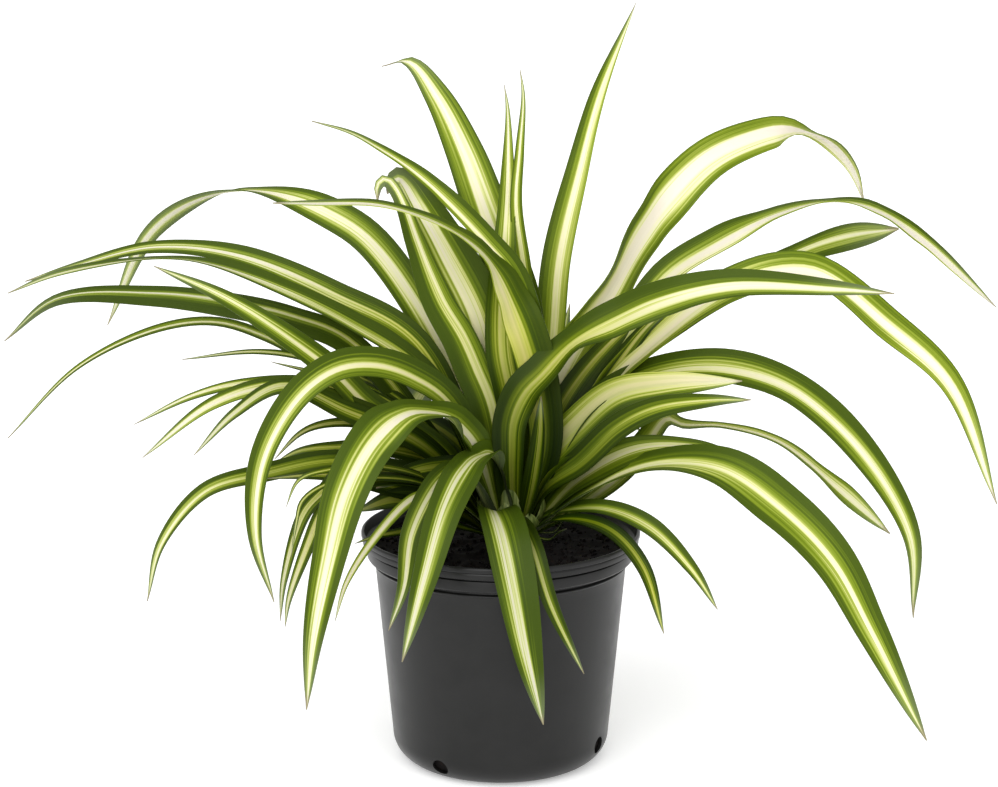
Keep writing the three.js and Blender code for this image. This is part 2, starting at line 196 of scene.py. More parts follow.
# %% Lights
SUN_FROM = Vector((-0.35, -1.3, 1.15))
SUN_STRENGTH = 2.55
SUN_SPREAD = math.radians(70)
WORLD_STRENGTH = 0.75

clear_selection()
bpy.ops.object.light_add(type="SUN", location=SUN_FROM)
sun = bpy.context.object
sun.name = "soft_sun"
sun.rotation_euler = (-SUN_FROM).to_track_quat("-Z", "Y").to_euler()
sun.data.energy = SUN_STRENGTH
sun.data.angle = SUN_SPREAD

world = bpy.data.worlds.new("pale studio")
world.use_nodes = True
world.node_tree.nodes["Background"].inputs["Color"].default_value = linear("#FFFFFF")
world.node_tree.nodes["Background"].inputs["Strength"].default_value = WORLD_STRENGTH
bpy.context.scene.world = world
bpy.context.scene.view_settings.view_transform = "Standard"
bpy.context.scene.view_settings.exposure = 0.0
print("sun stands", round(math.degrees(math.asin(SUN_FROM.normalized().z))), "degrees high")

# %% [markdown]
# ## Leaves: where each one runs
# A spider plant is a rosette. Its strap leaves rise from one crown, arch over, and hang down by their
# own weight. Each row gives a leaf's name, its heading round the crown in degrees (0 is right, 90 is
# away from us), its greatest width, the turns of its blade about the midrib in degrees, evenly spaced
# from root to tip, and the route of its midrib: points [out from the crown, up from the soil], where
# a third number puts a point aside of the heading. A last list makes some leaves wider or narrower by
# these factors, evenly spaced from root to tip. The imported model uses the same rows, so the fine leaves
# lie where the solid ones lie. All lengths are millimetres.

# %% The rows of leaves
LEAVES = [
    ["left_high_arch", 156, 22, [-20, -50, -62, -60, 5, 50, 80],
     [[40, 105], [88, 172], [118, 189], [161, 199], [199, 194], [242, 167], [275, 107]]],
    ["left_long_upper", 174, 18, [-30, -60, -60, -30, -40],
     [[54, 118], [104, 147], [160, 169], [211, 173], [258, 161], [289, 151]]],
    ["left_long_middle", 182, 15, [-30, -50, -37, 0, -50],
     [[45, 98], [94, 135], [167, 167], [203, 172], [260, 164], [291, 152]]],
    ["left_long_lower", 177, 18, [-30, -50, -65, -70],
     [[94, 118], [129, 133], [165, 141], [210, 146], [267, 143], [299, 118]]],
    ["left_short_rising", 190, 17, [-30, -70, -84, -80],
     [[40, 56], [84, 87], [103, 107], [137, 134], [169, 155], [206, 173]]],
    ["left_thin_far", 168, 9, [-30, -30, -40],
     [[60, 74], [110, 98], [148, 117], [180, 125], [217, 119], [268, 93], [315, 46]]],
    ["left_thin_a", 178, 8, [-30, -30], [[60, 82], [112, 108], [147, 114], [193, 109]]],
    ["left_thin_b", 185, 6, [-30, -50], [[60, 78], [100, 100], [140, 112]]],
    ["left_drooping_a", 186, 9, [-30, -60, -66],
     [[50, 62], [86, 81], [112, 98], [155, 100], [186, 93], [220, 77]]],
    ["left_drooping_b", 192, 13, [-30, -60, -70], [[50, 60], [98, 88], [136, 102], [175, 93], [216, 63]],
     [1.8, 1.2, 1, 1]],
    ["left_drooping_c", 197, 13, [-30, -60, -66], [[50, 60], [100, 87], [137, 104], [165, 90], [189, 67]],
     [1.8, 1.3, 1, 1]],
    ["left_front_arch", 207, 19, [-40, -75, -70, -60, -60],
     [[37, 87], [62, 108], [87, 118], [112, 118], [136, 104], [158, 70], [163, 26], [152, -16]]],
    ["front_left_large", 228, 27, [-60, -80, -95, -68, -14, -16, -46, -42, -41, -41, -41, -41, -41],
     [[28, 62], [42, 78], [56, 88], [72, 93], [86, 95], [101, 92], [120, 80], [138, 57], [151, 23],
      [164, -20], [170, -60]],
     [1, 1, 1, 1, 1.1, 1.1, 1, 1, 1]],
    ["front_wide", 246, 23, [-20, -50, -70, -60, 5, 0, -24, -26, -25, -25, -25, -25, -25],
     [[10, 43], [28, 60], [50, 63], [68, 58], [92, 43], [118, 11], [148, -29]]],
    ["front_left_behind", 236, 16, [-10, -34, -33], [[48, 54], [72, 54], [100, 30], [109, -1], [123, -22]]],
    ["front_left_thin", 224, 7, [-20, -35, -40],
     [[40, 30], [65, 41], [79, 41], [106, 25], [129, 2], [138, -19]]],
    ["front_left_short", 215, 6, [-30, -60], [[50, 19], [78, 19], [95, 19], [109, 17]]],
    ["front_hanging", -90, 27, [0, 0, 0],
     [[18, 20, -9], [48, 33, -8], [78, 27, -3], [96, 2, 3], [103, -38, 10], [104, -77, 18]]],
    ["front_hanging_thin", -90, 12, [10, 10],
     [[18, 16, 2], [50, 25, 6], [82, 19, 13], [95, -8, 22], [95, -50, 41]]],
    ["front_right_low", -22, 13, [5, 25, 60, 60], [[22, 18], [57, 27], [87, 19], [113, -4], [129, -27]]],
    ["front_right_dull", -38, 12, [0, 20, 50], [[36, 20], [72, 20], [96, 2], [111, -35]]],
    ["right_low_large", -14, 28, [10, 15, 45, 71, 71],
     [[42, 32], [83, 53], [124, 54], [158, 34], [192, 2], [215, -38], [249, -103]],
     [1, 1, 1.2, 1.08, 1.15]],
    ["right_low_behind", -5, 12, [20, 55, 60], [[40, 39], [74, 58], [108, 60], [132, 53], [155, 38]],
     [2, 1.8, 1.1, 1]],
    ["right_creased", 8, 20, [30, 40, 10, 25, 85],
     [[48, 25], [68, 41], [83, 60], [93, 72], [103, 68], [127, 66], [162, 55], [200, 24], [232, -5]],
     [1, 1, 1, 1, 0.45, 0.6, 1, 1.5, 1.6]],
    ["right_middle_arch", 3, 25, [20, 20, 50, 80, 89],
     [[47, 83], [77, 100], [123, 105], [165, 92], [207, 55], [240, 0], [243, -52]]],
    ["right_folded", -8, 24, [40, 75, 78], [[20, 48], [40, 72], [62, 91], [90, 98], [135, 102]]],
    ["right_middle_short", -18, 17, [40, 85, 83],
     [[20, 34], [42, 52], [65, 75], [88, 88], [121, 95], [144, 97]]],
    ["right_front_arch", -12, 25, [90, 95, 98, 95, 55, 33, 62, 81, 60, 55, 55, 65, 76],
     [[2, 57, -16], [3, 78, -16], [10, 95, -14], [20, 106, -12], [37, 124, -6], [60, 137, -1], [87, 150],
      [128, 161], [187, 161], [221, 159]]],
    ["right_wide_arch", 32, 31, [20, 40, 60, 80, 100, 110, 95, 60, 62, 75, 170, 135, 115],
     [[34, 100], [71, 144], [91, 173], [114, 198], [140, 217], [171, 227], [202, 230], [229, 222],
      [251, 203], [262, 180]],
     [1, 1, 1, 1, 1, 1, 1, 0.9, 1]],
    ["right_high_arch", 22, 21, [20, 25, 28, 30, 32, 34, 32, 6, -3, 28, 56, 84, 94],
     [[50, 95], [70, 120], [99, 154], [131, 171], [168, 185], [205, 191], [236, 186], [272, 165],
      [329, 116]]],
    ["right_high_behind", 28, 24, [20, 60, 70, 72],
     [[70, 95], [120, 125], [172, 146], [205, 157], [238, 163], [275, 165]],
     [0.7, 0.7, 0.7, 0.85, 2.5]],
    ["right_long_arch", 10, 27, [10, 15, 40, 75, 91],
     [[53, 87], [83, 116], [131, 150], [180, 158], [229, 123], [270, 85], [302, 8]]],
    ["right_dark_a", 20, 19, [30, 66, 66], [[22, 42], [28, 69], [44, 95], [69, 120], [94, 136]]],
    ["right_dark_b", 15, 15, [30, 70, 70], [[30, 60], [48, 80], [67, 106], [84, 126], [104, 140]]],
    ["tall_right", 62, 19, [20, 27, 30],
     [[30, 60], [48, 107], [58, 160], [84, 208], [113, 253], [166, 304]],
     [1, 1, 1, 0.85, 0.6]],
    ["tall_middle_right", 90, 10, [0, 0],
     [[16, 94, -8], [16, 149, -9], [16, 199, -3], [16, 231, -5], [16, 263, -7], [16, 279, -5]]],
    ["tall_middle_left", 90, 21, [0, 0],
     [[0, 80, -1], [0, 116, 5], [5, 151, 5], [10, 174, 4], [16, 190, 3], [18, 214, 2], [20, 254, 2],
      [20, 269, 4]],
     [1, 1, 1, 0.7, 0.5]],
    ["tall_left", 110, 30, [-10, -18, -22],
     [[17, 93, -13], [22, 135, -13], [27, 164, -6], [35, 197, 4], [45, 228, 13], [58, 259, 25],
      [71, 278, 38], [80, 275, 52]],
     [1, 1, 1, 1.1, 1.2]],
    ["left_tall_thin", 172, 14, [-70, -75, -80, -80, -80, -80, -76, -75, -72, -48, -30, -20, -18],
     [[-15, 60, 2], [-14, 123, 1], [-11, 140], [-2, 164, 1], [12, 181, 2], [32, 202, 3], [55, 221, 2],
      [79, 235], [94, 242, -1], [117, 248, -2]]],
    ["left_broad_base", 192, 25, [-60, -80, -95, -100, -101, -92, -55, -18, -7, -7, -10, -16, -20],
     [[-18, 60, 13], [-14, 103, 12], [-9, 123, 11], [0, 147, 9], [9, 165, 9], [19, 178, 8], [34, 189, 7],
      [55, 199, 6], [80, 206, 5], [118, 208, 6], [139, 209, 7]]],
    ["left_upright_a", 172, 22, [-60, -82, -78],
     [[13, 80, 1], [22, 103, 1], [30, 122, 2], [43, 145, 3], [56, 180, 3], [62, 198, 3], [68, 210, 2],
      [73, 215, 2], [77, 212, 2], [78, 203, 2]],
     [1.05, 1.05, 1.05, 1.05, 1.03, 1, 0.85, 0.85, 1.8]],
    ["left_upright_b", 164, 27, [-60, -72, -72],
     [[6, 96, -8], [12, 114, -6], [20, 141, -3], [37, 174], [54, 203, 3], [61, 213, 3], [66, 217, 5],
      [71, 214, 6], [73, 206, 6]],
     [1, 1, 1.1, 1.3, 1.8]],
    ["left_low_a", 186, 9, [-30, -54], [[40, 55], [65, 70], [92, 75], [112, 74], [124, 69], [139, 54]],
     [1.8, 1.6, 1, 0.9]],
    ["left_low_b", 190, 11, [-30, -70], [[40, 48], [66, 59], [101, 62], [125, 61], [140, 54]],
     [1.8, 1.6, 1.1, 0.9]],
    ["left_low_c", 197, 14, [-30, -50, -70, -45],
     [[38, 40], [68, 49], [106, 58], [146, 54], [183, 46], [209, 17], [218, -17]],
     [1.4, 1, 0.9, 1]],
    ["left_low_d", 201, 9, [-30, -75], [[38, 30], [69, 38], [112, 51], [149, 53]],
     [1.8, 1.6, 1.1, 0.9]],
    ["left_low_e", 216, 6, [-30, -55], [[60, 48], [100, 62], [125, 64], [147, 61], [156, 46]]],
    ["left_low_f", 219, 5, [-30, -50], [[60, 44], [100, 56], [133, 58], [150, 51], [154, 40], [158, 20]]],
    ["left_low_g", 213, 11, [-30, -50],
     [[53, 45], [90, 57], [116, 58], [126, 50], [139, 39], [153, 2], [156, -22]]],
    ["left_low_h", 215, 12, [-30, -48],
     [[52, 41], [87, 52], [119, 50], [130, 39], [140, 21], [153, -8], [156, -24]]],
    ["front_left_inner", 214, 13, [-40, -72, -65], [[30, 48], [52, 53], [74, 52], [93, 47]],
     [1, 1, 1.2, 1.6]],
    ["left_low_front", 203, 18, [-30, -62, -80], [[39, 26], [64, 33], [76, 34], [97, 29]]],
    ["heart_folded", -40, 13, [80, 100], [[22, 43, -7], [25, 70, -5], [26, 93, -4]]],
    ["back_rising", 75, 15, [15, 15], [[30, 50], [80, 70], [121, 85], [147, 115]]],
    ["back_a", 62, 20, [10, 10], [[40, 60], [90, 78], [125, 45], [140, 10]]],
    ["back_b", 78, 18, [5, -10], [[30, 55], [75, 80], [120, 55], [150, 0], [160, -60]]],
    ["back_c", 92, 22, [0, 15], [[35, 70], [85, 92], [130, 60], [155, 0], [160, -30]]],
    ["back_d", 106, 18, [0, -15], [[30, 50], [80, 70], [125, 45], [150, -10], [158, -50]]],
    ["back_e", 120, 24, [-10, 0], [[40, 62], [90, 80], [130, 45], [145, 10]], [1, 1, 1.5, 1.3]],
    ["back_f", 48, 16, [10, 20], [[35, 45], [80, 60], [120, 45], [140, 20]]],
    ["back_g", 136, 16, [-15, -10], [[35, 48], [85, 62], [125, 45], [145, 15]]],
    ["back_h", 85, 16, [0, 20], [[15, 60], [40, 95], [75, 110], [100, 95]]],
    ["back_i", 112, 18, [-10, 10], [[15, 70], [45, 105], [80, 115], [115, 95]]],
]
print("leaves:", len(LEAVES))

# %% [markdown]
# ## Leaves: from a route to a smooth midrib
# A smooth curve through the points stands for the midrib. At each place along it we need three
# directions: along the leaf, across the blade, and out of its upper face. The upper face starts in the
# upright plane of the leaf's heading and is then turned about the midrib. Blender's Curve modifier can
# bend a mesh along a curve too, but it turns a blade over where the midrib passes the upright, so we
# work the directions out ourselves. Every midrib starts a little above the soil, and no further from the
# middle of the crown than the crown is wide. Its direction at a place is taken between two points a
# small share of its length before and after it.

# %% Midrib
SOIL_TOP = 131
CROWN_AT = Vector((6, 4, SOIL_TOP))
ROOT_HEIGHT = 5
ROOT_SPREAD = 13
STEPS_PER_POINT = 16
GLANCE = 0.004


def curve_through(points):
    """Close points on the centripetal curve that passes smoothly through the given points."""
    ends = [2 * points[0] - points[1], *points, 2 * points[-1] - points[-2]]
    close = []
    for before, start, stop, after in zip(ends, ends[1:], ends[2:], ends[3:]):
        gap_in = (start - before).length ** 0.5
        gap = (stop - start).length ** 0.5
        gap_out = (after - stop).length ** 0.5
        leave = (start - before) / gap_in - (stop - before) / (gap_in + gap) + (stop - start) / gap
        arrive = (stop - start) / gap - (after - start) / (gap + gap_out) + (after - stop) / gap_out
        for step in range(STEPS_PER_POINT):
            t = step / STEPS_PER_POINT
            close.append(
                start * (2 * t**3 - 3 * t**2 + 1)
                + leave * gap * (t**3 - 2 * t**2 + t)
                + stop * (3 * t**2 - 2 * t**3)
                + arrive * gap * (t**3 - t**2)
            )
    return close + [points[-1]]


class Midrib:
    """The line that a leaf's blade follows, with its directions at each share of its length."""

    def __init__(self, heading, turns, route):
        angle = math.radians(heading)
        self.outward = Vector((math.cos(angle), math.sin(angle), 0))
        aside = Vector((-math.sin(angle), math.cos(angle), 0))
        lean = math.atan2(route[0][1] - ROOT_HEIGHT, route[0][0])
        rows = [[ROOT_SPREAD * math.cos(lean), ROOT_HEIGHT], *route]
        places = []
        for out, up, *sideways in rows:
            places.append(CROWN_AT + self.outward * out + aside * sum(sideways) + Vector((0, 0, up)))
        self.line = curve_through(places)
        self.turns = turns
        self.reached = [0.0]
        for here, there in zip(self.line, self.line[1:]):
            self.reached.append(self.reached[-1] + (there - here).length)
        self.length = self.reached[-1]

    def point(self, share):
        wanted = min(max(share, 0.0), 1.0) * self.length
        index = next((i for i, reach in enumerate(self.reached) if reach >= wanted), len(self.line) - 1)
        index = max(index, 1)
        part = (wanted - self.reached[index - 1]) / (self.reached[index] - self.reached[index - 1])
        return self.line[index - 1].lerp(self.line[index], part)

    def directions(self, share):
        """Along the leaf, across its blade, and out of its upper face."""
        along = (self.point(share + GLANCE) - self.point(share - GLANCE)).normalized()
        normal = self.outward * -along.z + Vector((0, 0, along.dot(self.outward)))
        normal = (normal - along * normal.dot(along)).normalized()
        turn = math.radians(value_along(self.turns, share))
        normal.rotate(Matrix.Rotation(turn, 3, along))
        return along, normal.cross(along), normal


longest = max(Midrib(row[1], row[3], row[4]).length for row in LEAVES)
print("longest leaf, mm:", round(longest))

# %% [markdown]
# ## Leaves: one flat blade
# Every leaf has the same plan: narrow at the root, widest just before its middle, then a long taper to a
# fine point, with a channel along the midrib. So we model one flat blade, 1 long and 1 wide, from a grid.
# First its lengthwise lines are lifted towards the margins to make the channel. Then each row across is
# scaled to the width that the leaf has there, and less high towards the tip, where the channel flattens.
# A bevelled curve would be quicker, but gives a blade neither a channel that flattens nor a map for its
# stripe. Places along the leaf are shares of its length, and a point counts as on a line of the grid
# when it lies within a part of a cell of it.

# %% The flat blade
ROWS = 72
COLUMNS = 10
ROOT_WIDTH = 0.5
WIDEST_AT = 0.45
TAPER = 3.6
TAPER_SOFTNESS = 0.9
TIP_WIDTH = 0.02
ROOT_FOLD = math.radians(30)
TIP_FOLD = math.radians(10)
FLATTEST_AT = 0.5
FOLD_SOFTNESS = 0.12
FOLD_CENTRE = 0.5
ON_LINE = 0.3


def width_share(share):
    """Share of the greatest width at a place along the leaf."""
    grown = math.sin(math.pi / 2 * min(share / WIDEST_AT, 1))
    taper = max(0.0, 1 - share**TAPER) ** TAPER_SOFTNESS
    return max(TIP_WIDTH, (ROOT_WIDTH + (1 - ROOT_WIDTH) * grown) * taper)


def select_where(mesh, test):
    """In edit mode, selects the vertices whose place passes a test."""
    for vertex in mesh.verts:
        vertex.select_set(test(vertex.co))
    mesh.select_flush(True)


def flat_blade():
    """A blade along X from 0 to 1, as wide as 1 at its widest."""
    clear_selection()
    bpy.ops.mesh.primitive_grid_add(
        x_subdivisions=ROWS, y_subdivisions=COLUMNS, size=1, location=(0.5, 0, 0)
    )
    blade = bpy.context.object
    blade.name = "flat_blade"
    bpy.ops.object.transform_apply(location=True)
    bpy.ops.object.mode_set(mode="EDIT")
    mesh = bmesh.from_edit_mesh(blade.data)
    bpy.ops.mesh.select_mode(type="VERT")
    for column in range(COLUMNS + 1):
        across = 2 * column / COLUMNS - 1
        lift = (math.sqrt(across**2 + FOLD_SOFTNESS**2) - FOLD_CENTRE) / 2
        select_where(mesh, lambda co: abs(co.y - across / 2) < ON_LINE / COLUMNS)
        bpy.ops.transform.translate(value=(0, 0, lift))
    for row in range(ROWS + 1):
        share = row / ROWS
        fold = ROOT_FOLD + (TIP_FOLD - ROOT_FOLD) * min(1, share / FLATTEST_AT)
        width = width_share(share)
        select_where(mesh, lambda co: abs(co.x - share) < ON_LINE / ROWS)
        bpy.ops.transform.resize(
            value=(1, width * math.cos(fold), width * math.sin(fold)),
            center_override=(share, 0, 0),
        )
    bpy.ops.object.mode_set(mode="OBJECT")
    return blade


blade_template = flat_blade()
print("flat blade:", len(blade_template.data.polygons), "faces")

# %% [markdown]
# ## Leaves: bending a copy of the blade
# Each leaf is a copy of the flat blade with its own mesh. Each of its points moves to the same place
# along the leaf's midrib. A real blade is never quite straight across: its margins ripple a little, more
# on wide leaves, so each leaf gets a gentle ripple of its own, a share of its width high and with
# millimetres from wave to wave.

# %% Bending
RIPPLE = 0.07
RIPPLE_SPACING = 55
RIPPLE_STARTS = 20
RIPPLE_FULL_AT = 0.25


def bent_leaf(name, heading, width, turns, route, swell=(1, 1), ripple=RIPPLE):
    """A copy of the flat blade, bent along the midrib of one leaf, and that midrib's length."""
    midrib = Midrib(heading, turns, route)
    leaf = blade_template.copy()
    leaf.data = blade_template.data.copy()
    leaf.name = name
    leaf.data.name = name
    bpy.context.scene.collection.objects.link(leaf)
    chance = random.Random(name)
    starts = [chance.uniform(0, RIPPLE_STARTS), chance.uniform(0, RIPPLE_STARTS)]
    for row in range(ROWS + 1):
        share = row / ROWS
        middle = midrib.point(share)
        _, across, normal = midrib.directions(share)
        reach = midrib.length * share / RIPPLE_SPACING
        waves = [noise.noise(Vector((reach, start, 0))) for start in starts]
        grown = ripple * eased(share / RIPPLE_FULL_AT) * width_share(share)
        wide = width * value_along(swell, share)
        for column in range(COLUMNS + 1):
            vertex = leaf.data.vertices[row + column * (ROWS + 1)]
            side = 2 * column / COLUMNS - 1
            wave = waves[0 if side < 0 else 1] * side**2 * grown
            place = middle + across * vertex.co.y * wide + normal * (vertex.co.z + wave) * wide
            vertex.co = place * MM
    return leaf, midrib.length


# %% [markdown]
# The blade is still as thin as a sheet of faces. The Solidify modifier gives it its thickness, and a
# second material on the lower face, which a real leaf has duller than the upper one. What sets one leaf
# apart from the next is written on its mesh, so all leaves share the two materials.

# %% Finishing a blade
BLADE_THICKNESS = 0.55 * MM
GROOVE_DEGREES = 50


def finished_leaf(leaf, upper, lower):
    """Gives a bent blade its thickness and the materials of its two faces."""
    leaf.data.materials.clear()
    leaf.data.materials.append(upper)
    leaf.data.materials.append(lower)
    apply_modifier(leaf, "SOLIDIFY", thickness=BLADE_THICKNESS, offset=0, material_offset=1)
    smoothed(leaf, GROOVE_DEGREES)
    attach(leaf, "root")
    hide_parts("rosette")


def give_look(leaf, look, pattern, length):
    """Writes the numbers that the striped tissue reads on every point of the leaf's mesh."""
    stripe, shift, depth, olive = look
    for name, values in (("leaf_marks", (stripe, shift, pattern)), ("leaf_tint", (depth, olive, length))):
        layer = leaf.data.attributes.new(name, "FLOAT_VECTOR", "POINT")
        for item in layer.data:
            item.vector = values


# %% [markdown]
# ## Leaf tissue
# The leaf is green with a cream stripe along its middle, where the cells hold no green. Between the two
# lies a band of lime, and single lime, cream or olive lines run beside it, because the pattern comes from
# rows of cells that grow lengthwise. The stripe takes up a larger share of the blade towards the tip. The
# tissue near the root is olive yellow, and near the crown it is darker still, which is painted shade of the
# leaves above. The tip is paler, and its very end dries to a dull brown. A leaf is thin, so some light
# also shines through it.
#
# An image of a leaf would have to be drawn for each of them. Instead the shader works the pattern out. It
# reads the leaf's own UV map, where X runs along the leaf and Y across it. The stripe's width and place
# differ from leaf to leaf, so each mesh carries them as numbers, with the leaf's length in millimetres.

# %% Numbers that the pattern reads
def leaf_numbers(tree):
    """The place of a point on its leaf and the look of that leaf, each as the output of a node."""
    numbers = {}
    for source, names in (
        (add_node(tree, "ShaderNodeUVMap", uv_map="UVMap").outputs["UV"], ["along", "across"]),
        (add_node(tree, "ShaderNodeAttribute", attribute_name="leaf_marks").outputs["Vector"],
         ["stripe", "shift", "pattern"]),
        (add_node(tree, "ShaderNodeAttribute", attribute_name="leaf_tint").outputs["Vector"],
         ["depth", "olive", "length"]),
    ):
        split = add_node(tree, "ShaderNodeSeparateXYZ", {"Vector": source})
        numbers.update(zip(names, split.outputs))
    inputs = {0: numbers["along"], 1: numbers["length"]}
    numbers["reach"] = add_node(tree, "ShaderNodeMath", inputs, operation="MULTIPLY")
    return numbers


# %% [markdown]
# The lines in the tissue are noise that is drawn out lengthwise. The list gives for each kind how many
# millimetres a line runs along the leaf, how many lie side by side on the blade, and how far, as a share
# of the blade's half width, it moves the edge of the stripe. The first kind lets the whole stripe wander.

# %% Lines in the tissue
LINES = {
    "wander": (90, 0.5, 0.14),
    "broad": (150, 7.0, 0.20),
    "middling": (200, 17.0, 0.22),
    "fine": (120, 46.0, 0.10),
}
LINE_LOW = 0.3
LINE_HIGH = 0.7


def tissue_lines(tree, numbers):
    """Each kind of line as a number from 0 to 1, with more contrast than the noise has."""
    lines = {}
    for kind, (run_mm, side_by_side, _) in LINES.items():
        x = add_node(tree, "ShaderNodeMath", {0: numbers["reach"], 1: run_mm}, operation="DIVIDE")
        y = add_node(tree, "ShaderNodeMath", {0: numbers["across"], 1: side_by_side}, operation="MULTIPLY")
        spot = add_node(tree, "ShaderNodeCombineXYZ", {"X": x, "Y": y, "Z": numbers["pattern"]})
        drawn_out = add_node(tree, "ShaderNodeTexNoise", {"Vector": spot, "Scale": 1.0, "Detail": 1.0})
        inputs = {"Value": drawn_out, "From Min": LINE_LOW, "From Max": LINE_HIGH}
        lines[kind] = add_node(tree, "ShaderNodeMapRange", inputs, interpolation_type="SMOOTHSTEP")
    return lines


def moved_by(tree, lines, kind, value):
    """The value, moved up or down by one kind of line."""
    centred = add_node(tree, "ShaderNodeMath", {0: lines[kind], 1: 0.5}, operation="SUBTRACT")
    inputs = {0: centred, 1: LINES[kind][2], 2: value}
    return add_node(tree, "ShaderNodeMath", inputs, operation="MULTIPLY_ADD")


# %% [markdown]
# Some tones fade in along the leaf, and so does the growth of the stripe. The dark and root tones are
# painted shade, the shade that the leaves cast near the crown. The list gives for each what it depends on,
# where it starts, where it is full, and how much it then is. The roots of all leaves are alike whatever
# their length, so their fades are millimetres, and those of the tips are shares.

# %% Shares that fade in along the leaf
OLIVE_FROM_MM = 240
OLIVE_FULL_MM = 110
PAINTED_SHADE_FROM_MM = 150
PAINTED_SHADE_FULL_MM = 50
ROOT_SHADE_FROM_MM = 75
ROOT_SHADE_FULL_MM = 30
ROOT_SHADE_STRENGTH = 0.85
STRIPE_GROWTH = 0.35
TIP_PALENESS = 0.22
TIP_DRYNESS = 0.75
TIP_RAGGED = 0.02


def fading_shares(tree, numbers, lines):
    """The shares of the leaf's colours that change along it."""
    along, reach, olive = numbers["along"], numbers["reach"], numbers["olive"]
    ragged = add_node(
        tree, "ShaderNodeMath", {0: lines["broad"], 1: TIP_RAGGED, 2: along}, operation="MULTIPLY_ADD"
    )
    shares = {}
    for kind, value, start, full, most in (
        ("growth", along, 0.55, 0.95, STRIPE_GROWTH),
        ("olive", reach, OLIVE_FROM_MM, OLIVE_FULL_MM, olive),
        # dark and root are painted shade: they darken the leaf near the crown, where the leaves shade it
        ("dark", reach, PAINTED_SHADE_FROM_MM, PAINTED_SHADE_FULL_MM, olive),
        ("root", reach, ROOT_SHADE_FROM_MM, ROOT_SHADE_FULL_MM, ROOT_SHADE_STRENGTH),
        ("pale tip", along, 0.82, 1.0, TIP_PALENESS),
        ("dry tip", ragged, 0.975, 1.005, TIP_DRYNESS),
    ):
        inputs = {"Value": value, "From Min": start, "From Max": full, "To Max": most}
        shares[kind] = add_node(tree, "ShaderNodeMapRange", inputs, interpolation_type="SMOOTHSTEP")
    both_shades = {0: shares["dark"], 1: shares["root"]}
    shares["dark"] = add_node(tree, "ShaderNodeMath", both_shades, operation="MAXIMUM")
    return shares


# %% [markdown]
# The colour of a place depends on how far it lies from the edge of the stripe. The stripe lies aside of
# the midrib by its shift, wanders a little, and grows towards the tip, and the lines in the tissue move
# its edge to and fro, which leaves single lines of one tone in the other.

# %% Distance from the edge of the stripe
def distance_from_stripe(tree, numbers, lines, growth):
    """How far a point lies outside the stripe, as a share of the blade's half width."""
    side = add_node(tree, "ShaderNodeMath", {0: numbers["across"], 1: 2.0, 2: -1.0}, operation="MULTIPLY_ADD")
    side = add_node(tree, "ShaderNodeMath", {0: side, 1: numbers["shift"]}, operation="SUBTRACT")
    side = moved_by(tree, lines, "wander", side)
    aside = add_node(tree, "ShaderNodeMath", {0: side}, operation="ABSOLUTE")
    grown = {0: numbers["stripe"], 1: growth, 2: numbers["stripe"]}
    half_width = add_node(tree, "ShaderNodeMath", grown, operation="MULTIPLY_ADD")
    distance = add_node(tree, "ShaderNodeMath", {0: aside, 1: half_width}, operation="SUBTRACT")
    for kind in ("broad", "middling", "fine"):
        distance = moved_by(tree, lines, kind, distance)
    return distance


# %% [markdown]
# The ramp runs from the middle of a broad stripe, which is cream with a little pink, over ivory and lime
# to the green of the margins. A deeper leaf reaches its last green nearer to the stripe, and one with a
# negative depth fades later and more softly. Then the other tones are laid over that, one by one. Depth
# also darkens the whole leaf, partly as its own deeper green and partly as painted shade on leaves that
# lie inside the rosette.

# %% Colours of the tissue
STRIPE_STOPS = [
    (0.00, "#F8EFE4"),
    (0.20, "#F8F2D6"),
    (0.33, "#F0EFB8"),
    (0.42, "#CCD274"),
    (0.52, "#9EAC42"),
    (0.64, "#819422"),
    (0.80, "#627616"),
    (1.00, "#4A5D11"),
]
EDGE_LOW = -0.35
EDGE_HIGH = 0.65


def tissue_colour(tree, numbers, lines, paler):
    """The colour of the leaf. paler is how much its face is washed out to a greyish green, partly the lower
    face's own colour and partly painted sheen.
    """
    shares = fading_shares(tree, numbers, lines)
    distance = distance_from_stripe(tree, numbers, lines, shares["growth"])
    depth = numbers["depth"]
    deepest = add_node(tree, "ShaderNodeMath", {0: EDGE_HIGH, 1: depth}, operation="SUBTRACT")
    inputs = {"Value": distance, "From Min": EDGE_LOW, "From Max": deepest}
    ramp_place = add_node(tree, "ShaderNodeMapRange", inputs)
    colour = add_node(tree, "ShaderNodeValToRGB", {"Fac": ramp_place}, stops=STRIPE_STOPS)
    olive = {0: lines["broad"], 6: linear("#E8E694"), 7: linear("#C6D058")}
    olive_tone = add_node(tree, "ShaderNodeMix", olive, data_type="RGBA")
    for share, tone, blend in (
        (shares["olive"], olive_tone, "MULTIPLY"),
        # painted shade near the crown
        (shares["dark"], linear("#7C8C2C"), "MULTIPLY"),
        # depth: the leaf's own deeper green, and painted shade on leaves inside the rosette
        (depth, linear("#5F7A22"), "MULTIPLY"),
        # paler: the lower face's own paler colour, and painted sheen
        (paler, linear("#A4B08C"), "MIX"),
        (shares["pale tip"], linear("#BCC6A2"), "MIX"),
        (shares["dry tip"], linear("#93846E"), "MIX"),
    ):
        inputs = {0: share, 6: colour, 7: tone}
        colour = add_node(tree, "ShaderNodeMix", inputs, data_type="RGBA", blend_type=blend)
    return colour


# %% [markdown]
# The upper face of a leaf is waxy and has a soft sheen, and the lower face is duller and paler. Its greyish
# green wash is partly that paler colour and partly painted sheen. A part of the light goes through the
# blade, and comes out a little more yellow.

# %% Leaf material
LEAF_IOR = 1.42
LEAF_SHEEN = 0.15
LIGHT_THROUGH = 0.22
VEIN_HEIGHT = 0.25 * MM
VEIN_STRENGTH = 0.25


